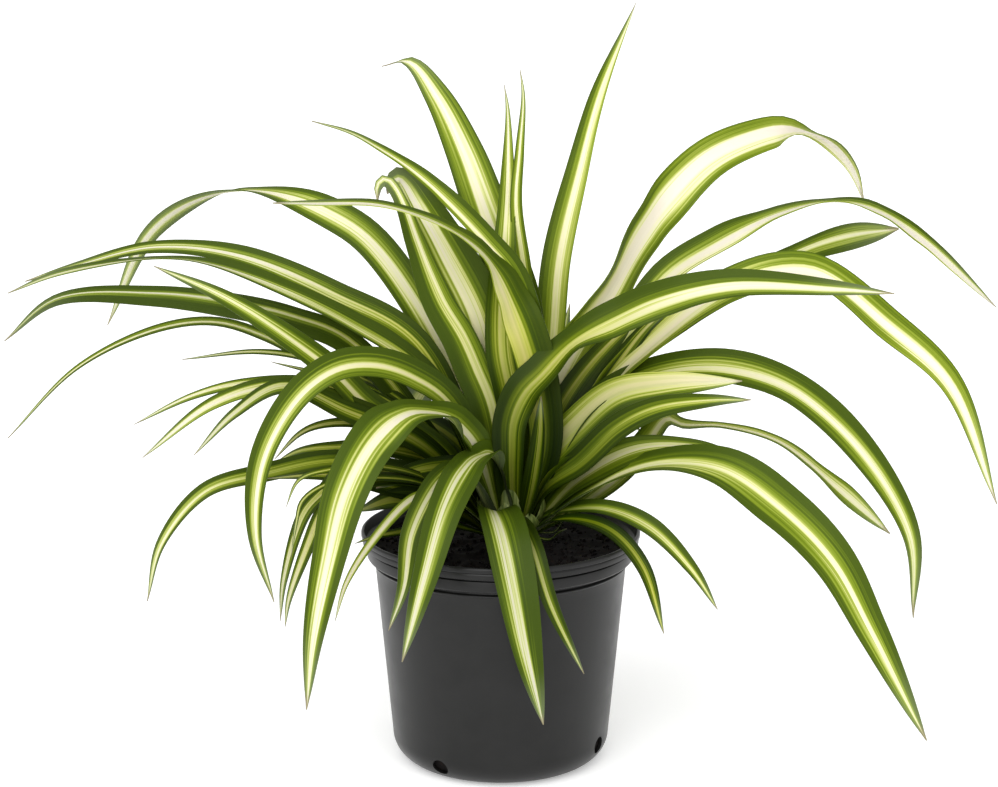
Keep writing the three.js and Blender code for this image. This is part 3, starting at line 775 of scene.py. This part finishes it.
def leaf_material(name, paler, roughness):
    """Striped leaf tissue for one face of the blade."""
    made, tree = new_material(name)
    numbers = leaf_numbers(tree)
    lines = tissue_lines(tree, numbers)
    colour = tissue_colour(tree, numbers, lines, paler)
    inputs = {"Height": lines["fine"], "Strength": VEIN_STRENGTH, "Distance": VEIN_HEIGHT}
    veins = add_node(tree, "ShaderNodeBump", inputs)
    inputs = {
        "Base Color": colour,
        "Roughness": roughness,
        "IOR": LEAF_IOR,
        "Specular IOR Level": LEAF_SHEEN,
        "Normal": veins,
    }
    tissue = add_node(tree, "ShaderNodeBsdfPrincipled", inputs)
    inputs = {0: 1.0, 6: colour, 7: linear("#EEF2A4")}
    yellower = add_node(tree, "ShaderNodeMix", inputs, data_type="RGBA", blend_type="MULTIPLY")
    through = add_node(tree, "ShaderNodeBsdfTranslucent", {"Color": yellower})
    both = add_node(tree, "ShaderNodeMixShader", {"Fac": LIGHT_THROUGH, 1: tissue, 2: through})
    add_node(tree, "ShaderNodeOutputMaterial", {"Surface": both})
    return made


upper_tissue = leaf_material("striped leaf, waxy upper face", paler=0.0, roughness=0.42)
# The lower face's greyish wash is partly its own colour and partly painted sheen.
lower_tissue = leaf_material("striped leaf, duller lower face", paler=0.22, roughness=0.55)
print("leaf materials:", upper_tissue.name, "|", lower_tissue.name)

# %% [markdown]
# ## Leaves: the looks of each
# A few leaves are mostly cream, others nearly green. Where a leaf isn't an average one, the table gives
# four values: the half width of its stripe as a share of the blade's half width, how far the stripe lies
# aside of the midrib, how deep its green is, which also darkens leaves inside the rosette as painted shade,
# where less than none gives a wider and softer fade, and how olive its lower part is, which also sets how
# much painted shade it gets near the crown. All others take values from a seeded draw, so that no two
# leaves are alike and each run gives the same plant.

# %% Looks and leaves
LOOKS = {
    "left_high_arch": (0.26, 0.05, 0.1, 0.2),
    "left_long_middle": (0.24, 0.30, 0.2, 0.7),
    "left_long_lower": (0.11, -0.25, 0.35, 0.9),
    "left_short_rising": (0.13, 0.0, 0.05, 0.6),
    "left_thin_far": (0.08, 0.0, -0.1, 0.1),
    "left_front_arch": (0.20, 0.20, 0.1, 0.6),
    "front_left_large": (0.24, 0.05, 0.12, 0.2),
    "front_wide": (0.23, -0.08, 0.25, 0.15),
    "front_left_behind": (0.24, 0.0, 0.25, 0.3),
    "front_left_thin": (0.30, 0.0, -0.3, 0.2),
    "front_hanging": (0.23, -0.18, 0.35, 0.1),
    "front_hanging_thin": (0.18, 0.0, 0.35, 0.7),
    "front_right_low": (0.06, -0.1, 0.0, 0.35),
    "front_right_dull": (0.10, 0.0, 0.0, 1.0),
    "right_low_large": (0.14, -0.10, 0.05, 0.2),
    "right_low_behind": (0.20, 0.0, 0.0, 0.4),
    "right_creased": (0.18, 0.0, -0.3, 0.2),
    "right_middle_arch": (0.18, -0.12, 0.1, 0.5),
    "right_folded": (0.48, 0.15, 0.0, 0.7),
    "right_middle_short": (0.12, 0.0, 0.1, 0.8),
    "right_front_arch": (0.24, -0.18, 0.15, 0.9),
    "right_wide_arch": (0.48, -0.05, 0.05, 0.4),
    "right_high_arch": (0.48, -0.30, 0.15, 0.6),
    "right_high_behind": (0.16, 0.0, 0.05, 0.2),
    "right_long_arch": (0.36, -0.10, 0.0, 0.5),
    "right_dark_a": (0.18, 0.1, 0.25, 1.0),
    "right_dark_b": (0.24, 0.0, 0.25, 1.0),
    "tall_right": (0.02, -0.33, -0.42, 0.4),
    "tall_middle_right": (0.13, 0.0, -0.2, 0.8),
    "tall_middle_left": (0.18, 0.0, -0.1, 0.9),
    "tall_left": (0.29, 0.03, 0.03, 0.5),
    "left_tall_thin": (0.10, 0.30, -0.05, 0.8),
    "left_broad_base": (0.42, 0.45, 0.1, 1.0),
    "left_upright_a": (0.13, -0.28, 0.05, 0.5),
    "left_upright_b": (0.26, 0.42, 0.05, 0.4),
    "heart_folded": (0.30, -0.2, 0.2, 0.9),
}

STRIPE_DRAW = (0.18, 0.34)
SHIFT_DRAW = (-0.15, 0.15)
# The drawn leaves lie mostly inside the rosette, so their depth is partly painted shade.
DEPTH_AND_SHADE_DRAW = (0.1, 0.35)
PATTERN_DRAW = (0, 60)

for name, *form in LEAVES:
    chance = random.Random("looks of " + name)
    drawn = [chance.uniform(*limits) for limits in (STRIPE_DRAW, SHIFT_DRAW, DEPTH_AND_SHADE_DRAW)] + [1.0]
    pattern = chance.uniform(*PATTERN_DRAW)
    leaf, length = bent_leaf("leaf_" + name, *form)
    finished_leaf(leaf, upper_tissue, lower_tissue)
    give_look(leaf, LOOKS.get(name, drawn), pattern, length)
print("leaf pieces:", len(LEAVES), "with", len(leaf.data.polygons), "faces each")

# %% [markdown]
# ## Crown
# At the soil the leaves of a spider plant wrap round each other with broad bases. From outside this looks
# like a short bundle of overlapping sheaths. A tapered core with grooves closes the middle, and round it
# stand short sheaths, which are copies of the same flat blade. The real bases are pale, and the shade of
# the leaves over them is painted into their colour as a dull olive green. A few tiny shoots come up beside
# the crown on the viewer's right.

# %% Crown core
CORE_RADIUS = 13
CORE_HEIGHT = 34
CORE_IN_SOIL = 25
CORE_TAPER = 0.75
CORE_GROOVES = 7
CORE_GROOVE_SHARE = 0.10
CORE_TWIST = 60


def crown_core():
    """A tapered core with twisted grooves between the leaf bases."""
    clear_selection()
    bpy.ops.mesh.primitive_cone_add(
        vertices=56,
        radius1=CORE_RADIUS * MM,
        radius2=CORE_RADIUS * CORE_TAPER * MM,
        depth=(CORE_HEIGHT + CORE_IN_SOIL) * MM,
        location=(CROWN_AT + Vector((0, 0, (CORE_HEIGHT - CORE_IN_SOIL) / 2))) * MM,
    )
    core = bpy.context.object
    core.name = "crown_core"
    bpy.ops.object.transform_apply(location=True)
    bpy.ops.object.mode_set(mode="EDIT")
    bpy.ops.mesh.select_all(action="SELECT")
    bpy.ops.mesh.subdivide(number_cuts=3)
    bpy.ops.object.mode_set(mode="OBJECT")
    for vertex in core.data.vertices:
        away = Vector((vertex.co.x - CROWN_AT.x * MM, vertex.co.y - CROWN_AT.y * MM))
        turn = math.atan2(away.y, away.x) * CORE_GROOVES + vertex.co.z * CORE_TWIST
        bulge = 1 + CORE_GROOVE_SHARE * math.sin(turn)
        vertex.co.x = CROWN_AT.x * MM + away.x * bulge
        vertex.co.y = CROWN_AT.y * MM + away.y * bulge
    smoothed(core, GROOVE_DEGREES)
    return core


core = crown_core()
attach(core, "root")
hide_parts("rosette")
print("crown core:", len(core.data.polygons), "faces")

# %% [markdown]
# The bases have no stripe. Their tissue shows fine lines that run up from the soil, less than a
# millimetre apart on the real plant. Noise that is drawn out upwards gives them about as fine.

# %% Tissue of the leaf bases
BASE_LINES_PER_MM = 0.9
BASE_LINES_PER_MM_UP = 0.06


def base_material():
    """Leaf base: pale tissue without a stripe, painted a dull olive as shade, with fine lines along it."""
    made, tree = new_material("pale leaf base")
    spot = add_node(tree, "ShaderNodeTexCoord").outputs["Object"]
    fine_lines = (BASE_LINES_PER_MM / MM, BASE_LINES_PER_MM / MM, BASE_LINES_PER_MM_UP / MM)
    drawn_out = add_node(tree, "ShaderNodeMapping", {"Vector": spot, "Scale": fine_lines})
    lines = add_node(tree, "ShaderNodeTexNoise", {"Vector": drawn_out, "Scale": 1.0, "Detail": 2.0})
    # The dull olive stops are painted shade over the pale tissue of the bases.
    stops = [(0.3, "#3E4C1A"), (0.5, "#5A682C"), (0.7, "#7C8448")]
    shade = add_node(tree, "ShaderNodeValToRGB", {"Fac": lines}, stops=stops)
    inputs = {"Base Color": shade, "Roughness": 0.5, "IOR": LEAF_IOR}
    skin = add_node(tree, "ShaderNodeBsdfPrincipled", inputs)
    add_node(tree, "ShaderNodeOutputMaterial", {"Surface": skin})
    return made


base_tissue_in_painted_shade = base_material()
core.data.materials.append(base_tissue_in_painted_shade)
print("crown core has:", base_tissue_in_painted_shade.name)

# %% [markdown]
# The sheaths stand in a ring round the core, each a little aside of its place and of its own height, as
# grown things are. Their margins overlap, so no gap shows the core bare.

# %% Sheaths
SHEATHS = 14
SHEATH_WIDTH = 17
SHEATH_HEIGHTS = (20, 30)
SHEATH_FLARES = (4, 9)
SHEATH_STRAY = (-8, 8)
FIRST_SHEATH_SEED = 1000

for number in range(SHEATHS):
    chance = random.Random(FIRST_SHEATH_SEED + number)
    heading = number * 360 / SHEATHS + chance.uniform(*SHEATH_STRAY)
    height = chance.uniform(*SHEATH_HEIGHTS)
    flare = chance.uniform(*SHEATH_FLARES)
    route = [
        [CORE_RADIUS + 3, height * 0.4],
        [CORE_RADIUS + 4 + flare * 0.4, height * 0.75],
        [CORE_RADIUS + flare, height],
    ]
    sheath, _ = bent_leaf(f"sheath_{number + 1}", heading, SHEATH_WIDTH, [0, 0], route, ripple=0)
    finished_leaf(sheath, base_tissue_in_painted_shade, base_tissue_in_painted_shade)
print("sheaths:", SHEATHS)

# %% [markdown]
# The shoots are the smallest leaves of all, only a few millimetres wide. Each row gives the heading, the
# width and the route, as in the rows of leaves. The flat blade has then been copied for the last time.

# %% Shoots
SHOOTS = [
    [-70, 3.4, [[22, 6], [26, 12], [28, 19]]],
    [-25, 3.0, [[25, 4], [31, 9], [36, 12]]],
    [5, 3.2, [[26, 5], [31, 12], [35, 21]]],
    [35, 2.6, [[24, 5], [28, 12], [30, 19]]],
]
SHOOT_LOOK = (0.3, 0.0, 0.1, 0.3)
SHOOT_PATTERN_STEP = 5.1

for number, (heading, width, route) in enumerate(SHOOTS):
    shoot, length = bent_leaf(f"shoot_{number + 1}", heading, width, [0, 20], route, ripple=0)
    finished_leaf(shoot, upper_tissue, lower_tissue)
    give_look(shoot, SHOOT_LOOK, number * SHOOT_PATTERN_STEP, length)
bpy.data.objects.remove(blade_template)
print("shoots:", len(SHOOTS))

# %% [markdown]
# ## Pot
# The pot is a moulded black nursery pot: thin walls, a rounded foot, and a rim of stepped rings that
# makes it stiff. Between the rings run narrow notches, which we see as dark lines. It is round, so its
# outline is enough. A spin of the outline would make it too, but with a seam and a pole to close. We
# start with a circle of the foot's size and extrude the ring of edges again and again, each time moved
# and scaled to the next point of the outline, first up the outside and then down the inside. All lengths
# are millimetres.

# %% Pot shape
POT_HEIGHT = 140
LIP_RADIUS = 82.5
WALL_TOP_RADIUS = 74.6
WALL_FOOT_RADIUS = 64.6
WALL = 1.8
POT_FLOOR = 2.2
FOOT_CORNER = 16
RIM_DEPTH = 17
UPPER_RING = 8
RING_STEP = 3.4
GROOVE = 0.9
NOTCH = 1.2
FOOT_NOTCH = 0.5
BEVEL = 0.8
SOFT_STEP = 3
LIP_DEPTH = 2.8
POT_SIDES = 144
WALL_STEP = 14
CORNER_STEP_DEGREES = 8

rim_foot = POT_HEIGHT - RIM_DEPTH
ring_foot = POT_HEIGHT - UPPER_RING
lower_ring = LIP_RADIUS - RING_STEP
foot_radius = WALL_FOOT_RADIUS - FOOT_CORNER


def wall_radius(height):
    share = (height - FOOT_CORNER) / (rim_foot - FOOT_CORNER)
    return WALL_FOOT_RADIUS + (WALL_TOP_RADIUS - WALL_FOOT_RADIUS) * share


def corner_points(depth, lowest):
    """Points along the rounded foot corner, at a depth below its outer face, none below a lowest height."""
    radius = FOOT_CORNER - depth
    points = []
    for degrees in range(CORNER_STEP_DEGREES, 90, CORNER_STEP_DEGREES):
        angle = math.radians(degrees)
        height = FOOT_CORNER - radius * math.cos(angle)
        points.append([foot_radius + radius * math.sin(angle), max(height, lowest)])
    return points


def pot_outline():
    """Points [radius, height] up the outside of the pot and down its inside."""
    heights = range(FOOT_CORNER, rim_foot - SOFT_STEP + 1, WALL_STEP)
    wall = [[wall_radius(height), height] for height in heights]
    rim = [
        [wall_radius(rim_foot - SOFT_STEP), rim_foot - SOFT_STEP],
        [wall_radius(rim_foot) + GROOVE, rim_foot - SOFT_STEP + BEVEL],
        [wall_radius(rim_foot) + GROOVE, rim_foot - 2 * BEVEL],
        [wall_radius(rim_foot) - FOOT_NOTCH, rim_foot - BEVEL],
        [wall_radius(rim_foot) - FOOT_NOTCH, rim_foot + 1.5 * BEVEL],
        [lower_ring - GROOVE, rim_foot + 1.7 * BEVEL],
        [lower_ring, rim_foot + 3 * BEVEL],
        [lower_ring, ring_foot - 1.3 * BEVEL],
        [lower_ring - NOTCH, ring_foot - 0.8 * BEVEL],
        [lower_ring - NOTCH, ring_foot + 0.6 * BEVEL],
        [LIP_RADIUS - GROOVE, ring_foot + 1.1 * BEVEL],
        [LIP_RADIUS - BEVEL, POT_HEIGHT - LIP_DEPTH - 2 * BEVEL],
        [LIP_RADIUS - NOTCH, POT_HEIGHT - LIP_DEPTH - BEVEL],
        [LIP_RADIUS, POT_HEIGHT - LIP_DEPTH],
        [LIP_RADIUS, POT_HEIGHT - BEVEL],
        [LIP_RADIUS - BEVEL, POT_HEIGHT],
    ]
    inside = [
        [LIP_RADIUS - WALL, POT_HEIGHT],
        [LIP_RADIUS - GROOVE - WALL, ring_foot + 2 * BEVEL],
        [lower_ring - WALL, ring_foot + BEVEL],
        [lower_ring - WALL, rim_foot + 4 * BEVEL],
        [wall_radius(rim_foot) - WALL, rim_foot + 2 * BEVEL],
        [wall_radius(FOOT_CORNER) - WALL, FOOT_CORNER],
    ]
    inside_corner = corner_points(WALL, POT_FLOOR)[::-1]
    return [[foot_radius, 0]] + corner_points(0, 0) + wall + rim + inside + inside_corner


def extrude_ring(radius, height, next_radius, next_height):
    """Extrudes the selected ring of edges to the next radius and height."""
    rise = (0, 0, (next_height - height) * MM)
    bpy.ops.mesh.extrude_edges_move(TRANSFORM_OT_translate={"value": rise})
    grown = next_radius / radius
    bpy.ops.transform.resize(value=(grown, grown, 1), center_override=(0, 0, next_height * MM))


def turned_pot():
    outline = pot_outline()
    clear_selection()
    bpy.ops.mesh.primitive_circle_add(vertices=POT_SIDES, radius=outline[0][0] * MM, fill_type="NGON")
    pot = bpy.context.object
    pot.name = "nursery_pot"
    bpy.ops.object.mode_set(mode="EDIT")
    bpy.ops.mesh.select_mode(type="EDGE")
    bpy.ops.mesh.select_all(action="SELECT")
    for (radius, height), (next_radius, next_height) in zip(outline, outline[1:]):
        extrude_ring(radius, height, next_radius, next_height)
    bpy.ops.mesh.edge_face_add()
    bpy.ops.mesh.select_all(action="SELECT")
    bpy.ops.mesh.normals_make_consistent(inside=False)
    bpy.ops.object.mode_set(mode="OBJECT")
    return pot


pot = turned_pot()
print("pot:", len(pot.data.polygons), "faces, height, mm:", round(pot.dimensions.z / MM, 1))

# %% [markdown]
# A real pot has no knife edges, so a modifier rounds them. Each drainage hole is drilled at a right angle
# to the skin of the rounded foot. The list gives its heading round the pot and how far it points down,
# both in degrees.

# %% Rounded edges and drainage holes
EDGE_ROUNDING = 0.3
SHARP_DEGREES = 28
SMOOTH_DEGREES = 32
DRAIN_RADIUS = 5.2
DRAINS = [[-124, 24], [-26, 5], [108, 24]]
DRILL_SIDES = 32


def drill_hole(heading, slope):
    """Cuts a hole through the middle of the wall at the foot."""
    clear_selection()
    bpy.ops.mesh.primitive_cylinder_add(
        vertices=DRILL_SIDES, radius=DRAIN_RADIUS * MM, depth=6 * WALL * MM
    )
    drill = bpy.context.object
    turn = math.radians(heading)
    fall = math.radians(slope)
    drill.rotation_euler = (0, math.radians(90 + slope), turn)
    depth = FOOT_CORNER - WALL / 2
    out = foot_radius + depth * math.cos(fall)
    height = FOOT_CORNER - depth * math.sin(fall)
    drill.location = Vector((out * math.cos(turn), out * math.sin(turn), height)) * MM
    bpy.context.view_layer.update()
    apply_modifier(pot, "BOOLEAN", operation="DIFFERENCE", object=drill, solver="EXACT")
    bpy.data.objects.remove(drill)


apply_modifier(
    pot,
    "BEVEL",
    width=EDGE_ROUNDING * MM,
    segments=2,
    limit_method="ANGLE",
    angle_limit=math.radians(SHARP_DEGREES),
)
for heading, slope in DRAINS:
    drill_hole(heading, slope)
smoothed(pot, SMOOTH_DEGREES)
print("drilled pot:", len(pot.data.polygons), "faces")

# %% [markdown]
# ## Pot plastic
# The pot is blow-moulded black polypropylene. Its skin is satin: the mould was sand-blasted, so it has a
# very fine grain, and in the photograph it is charcoal with soft pale edges where it mirrors the white
# surroundings. Handling leaves faint scuffs and a little dust, which make it rougher in patches.

# %% Pot material
PLASTIC_GRAIN_MM = 0.5
SCUFF_MM = 18
PLASTIC_IOR = 1.49
PLASTIC_SHEEN = 0.32
GRAIN_HEIGHT = 0.05 * MM


def pot_material():
    made, tree = new_material("satin black polypropylene")
    spot = add_node(tree, "ShaderNodeTexCoord").outputs["Object"]
    inputs = {"Vector": spot, "Scale": 1 / (PLASTIC_GRAIN_MM * MM), "Detail": 2.0}
    grain = add_node(tree, "ShaderNodeTexNoise", inputs)
    inputs = {"Vector": spot, "Scale": 1 / (SCUFF_MM * MM), "Detail": 6.0, "Roughness": 0.6}
    scuffs = add_node(tree, "ShaderNodeTexNoise", inputs)
    stops = [(0.35, "#0D0D0C"), (0.70, "#141413")]
    colour = add_node(tree, "ShaderNodeValToRGB", {"Fac": scuffs}, stops=stops)
    inputs = {"Value": scuffs, "From Min": 0.3, "From Max": 0.7, "To Min": 0.32, "To Max": 0.42}
    rough = add_node(tree, "ShaderNodeMapRange", inputs)
    inputs = {"Height": grain, "Strength": 0.12, "Distance": GRAIN_HEIGHT}
    skin = add_node(tree, "ShaderNodeBump", inputs)
    inputs = {
        "Base Color": colour,
        "Roughness": rough,
        "IOR": PLASTIC_IOR,
        "Specular IOR Level": PLASTIC_SHEEN,
        "Normal": skin,
    }
    plastic = add_node(tree, "ShaderNodeBsdfPrincipled", inputs)
    add_node(tree, "ShaderNodeOutputMaterial", {"Surface": plastic})
    return made


pot.data.materials.clear()
pot.data.materials.append(pot_material())
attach(pot, "root")
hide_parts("pot")
print("pot has:", pot.data.materials[0].name)

# %% [markdown]
# ## Soil
# Potting mix is dark peat with bits of bark. Its top is uneven: it is banked up a little round the plant
# and lumpy. A flat disc with a bumpy finish would look flat where it meets the pot. So the fill is a
# disc, inset again and again to get a fine net of faces, whose points are then lifted by noise: broad
# lumps and fine grit. Its side follows the inside of the pot down to the floor.

# %% Soil fill
SOIL_FALL = 1.5
SOIL_RINGS = 26
SOIL_EDGE = 0.4
LUMP_MM = 9
LUMP_HEIGHT = 1.6
GRIT_MM = 2.6
GRIT_HEIGHT = 0.7
BANK_HEIGHT = 2.0
BANK_REACH = 30
SOIL_SIDES = 120
SOIL_SMOOTH_DEGREES = 60
ON_TOP = 0.1

soil_radius = lower_ring - WALL - SOIL_EDGE


def soil_height(x, y):
    """Height of the soil's top at a place, all in millimetres."""
    fall = SOIL_FALL * min(1, math.hypot(x, y) / soil_radius)
    lumps = noise.noise(Vector((x, y, 3)) / LUMP_MM) * LUMP_HEIGHT
    grit = noise.noise(Vector((x, y, 9)) / GRIT_MM) * GRIT_HEIGHT
    near_crown = math.hypot(x - CROWN_AT.x, y - CROWN_AT.y)
    bank = BANK_HEIGHT * math.exp(-((near_crown / BANK_REACH) ** 2))
    return SOIL_TOP - fall + lumps + grit + bank


def soil_fill():
    clear_selection()
    bpy.ops.mesh.primitive_circle_add(
        vertices=SOIL_SIDES, radius=soil_radius * MM, fill_type="NGON", location=(0, 0, SOIL_TOP * MM)
    )
    fill = bpy.context.object
    fill.name = "soil_fill"
    bpy.ops.object.transform_apply(location=True)
    bpy.ops.object.mode_set(mode="EDIT")
    bpy.ops.mesh.select_mode(type="FACE")
    bpy.ops.mesh.select_all(action="SELECT")
    for _ in range(SOIL_RINGS):
        bpy.ops.mesh.inset(thickness=soil_radius / (SOIL_RINGS + 1) * MM)
    bpy.ops.mesh.poke()
    mesh = bmesh.from_edit_mesh(fill.data)
    bpy.ops.mesh.select_all(action="DESELECT")
    bpy.ops.mesh.select_mode(type="EDGE")
    for edge in mesh.edges:
        edge.select_set(edge.is_boundary)
    side = [
        [soil_radius, SOIL_TOP],
        [soil_radius, rim_foot + 4 * BEVEL + SOIL_EDGE],
        [wall_radius(rim_foot) - WALL - SOIL_EDGE, rim_foot + 2 * BEVEL],
        [wall_radius(FOOT_CORNER) - WALL - SOIL_EDGE, FOOT_CORNER],
        *corner_points(WALL + SOIL_EDGE, POT_FLOOR + SOIL_EDGE)[::-1],
    ]
    for (radius, height), (next_radius, next_height) in zip(side, side[1:]):
        extrude_ring(radius, height, next_radius, next_height)
    bpy.ops.mesh.edge_face_add()
    bpy.ops.mesh.select_all(action="SELECT")
    bpy.ops.mesh.normals_make_consistent(inside=False)
    bpy.ops.object.mode_set(mode="OBJECT")
    for vertex in fill.data.vertices:
        if abs(vertex.co.z - SOIL_TOP * MM) < ON_TOP * MM:
            vertex.co.z = soil_height(vertex.co.x / MM, vertex.co.y / MM) * MM
    smoothed(fill, SOIL_SMOOTH_DEGREES)
    return fill


fill = soil_fill()
print("soil fill:", len(fill.data.polygons), "faces")

# %% [markdown]
# On the soil lie crumbs of peat and bark, most of them small. Nine hundred are copies of one small ball,
# each stretched, turned and made rough in its own way, and all are joined to one piece.

# %% Soil crumbs
CRUMBS = 900
CRUMB_SEED = 7
SMALLEST_CRUMB = 0.7
LARGEST_CRUMB = 3.2
CRUMBS_TO_WALL = 2
CRUMB_STRETCH = (0.6, 1.3)
CRUMB_ROUGH_SHARE = 0.5
CRUMB_BUMPS_PER_MM = 1.1
CRUMB_STARTS = 90
CRUMB_LIFT = 0.15
CRUMB_SMOOTH_DEGREES = 50


def soil_crumbs():
    """One small rough ball, copied over the soil's top in all sizes."""
    chance = random.Random(CRUMB_SEED)
    clear_selection()
    bpy.ops.mesh.primitive_ico_sphere_add(subdivisions=2, radius=1 * MM)
    ball = bpy.context.object
    crumbs = []
    while len(crumbs) < CRUMBS:
        x = chance.uniform(-soil_radius, soil_radius)
        y = chance.uniform(-soil_radius, soil_radius)
        if math.hypot(x, y) > soil_radius - CRUMBS_TO_WALL:
            continue
        size = SMALLEST_CRUMB + (LARGEST_CRUMB - SMALLEST_CRUMB) * chance.random() ** 3
        crumb = ball.copy()
        crumb.data = ball.data.copy()
        start = Vector([chance.uniform(0, CRUMB_STARTS) for _ in range(3)])
        stretch = Vector([chance.uniform(*CRUMB_STRETCH) for _ in range(3)])
        turn = Matrix.Rotation(chance.uniform(0, math.tau), 3, "Z")
        middle = Vector((x, y, soil_height(x, y) + CRUMB_LIFT * size)) * MM
        for vertex in crumb.data.vertices:
            bumps = noise.noise(vertex.co / MM * CRUMB_BUMPS_PER_MM + start)
            rough = vertex.co * (1 + CRUMB_ROUGH_SHARE * bumps)
            shaped = turn @ Vector([a * b for a, b in zip(rough, stretch)])
            vertex.co = shaped * size / 2 + middle
        bpy.context.scene.collection.objects.link(crumb)
        crumbs.append(crumb)
    bpy.data.objects.remove(ball)
    clear_selection()
    for crumb in crumbs:
        crumb.select_set(True)
    bpy.context.view_layer.objects.active = crumbs[0]
    bpy.ops.object.join()
    joined = bpy.context.object
    joined.name = "soil_crumbs"
    return joined


crumbs = soil_crumbs()
smoothed(crumbs, CRUMB_SMOOTH_DEGREES)
print("crumbs:", CRUMBS, "in", len(crumbs.data.polygons), "faces")

# %% [markdown]
# ## Soil finish
# Damp peat is almost black with a reddish brown cast, and quite matt. Lighter brown fibres and bits of
# bark give it some variety close up.

# %% Soil material
FIBRE_MM = 1.5
SOIL_SHEEN = 0.15
SOIL_BUMP_HEIGHT = 0.5 * MM


def soil_material():
    made, tree = new_material("damp peat potting mix")
    spot = add_node(tree, "ShaderNodeTexCoord").outputs["Object"]
    inputs = {"Vector": spot, "Scale": 1 / (FIBRE_MM * MM)}
    bits = add_node(tree, "ShaderNodeTexVoronoi", inputs).outputs["Color"]
    inputs = {"Vector": spot, "Scale": 1 / (LUMP_MM * MM), "Detail": 6.0}
    patches = add_node(tree, "ShaderNodeTexNoise", inputs)
    stops = [(0.0, "#050202"), (0.55, "#0B0605"), (0.85, "#180E0A"), (1.0, "#281A12")]
    shade = add_node(tree, "ShaderNodeValToRGB", {"Fac": bits}, stops=stops)
    inputs = {0: patches, 6: linear("#7A6A66"), 7: linear("#FFFFFF")}
    damp = add_node(tree, "ShaderNodeMix", inputs, data_type="RGBA")
    inputs = {0: 1.0, 6: shade, 7: damp}
    colour = add_node(tree, "ShaderNodeMix", inputs, data_type="RGBA", blend_type="MULTIPLY")
    inputs = {"Height": patches, "Strength": 0.6, "Distance": SOIL_BUMP_HEIGHT}
    bumps = add_node(tree, "ShaderNodeBump", inputs)
    inputs = {"Base Color": colour, "Roughness": 0.9, "Specular IOR Level": SOIL_SHEEN, "Normal": bumps}
    peat = add_node(tree, "ShaderNodeBsdfPrincipled", inputs)
    add_node(tree, "ShaderNodeOutputMaterial", {"Surface": peat})
    return made


potting_mix = soil_material()
for piece in (fill, crumbs):
    piece.data.materials.clear()
    piece.data.materials.append(potting_mix)
    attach(piece, "root")
    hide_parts("soil")
print("soil has:", potting_mix.name)

# %% [markdown]
# ## Finish
# The dressed plant has to fill the same room as the imported model. The last step leaves nothing selected.

# %% Finish
clear_selection()
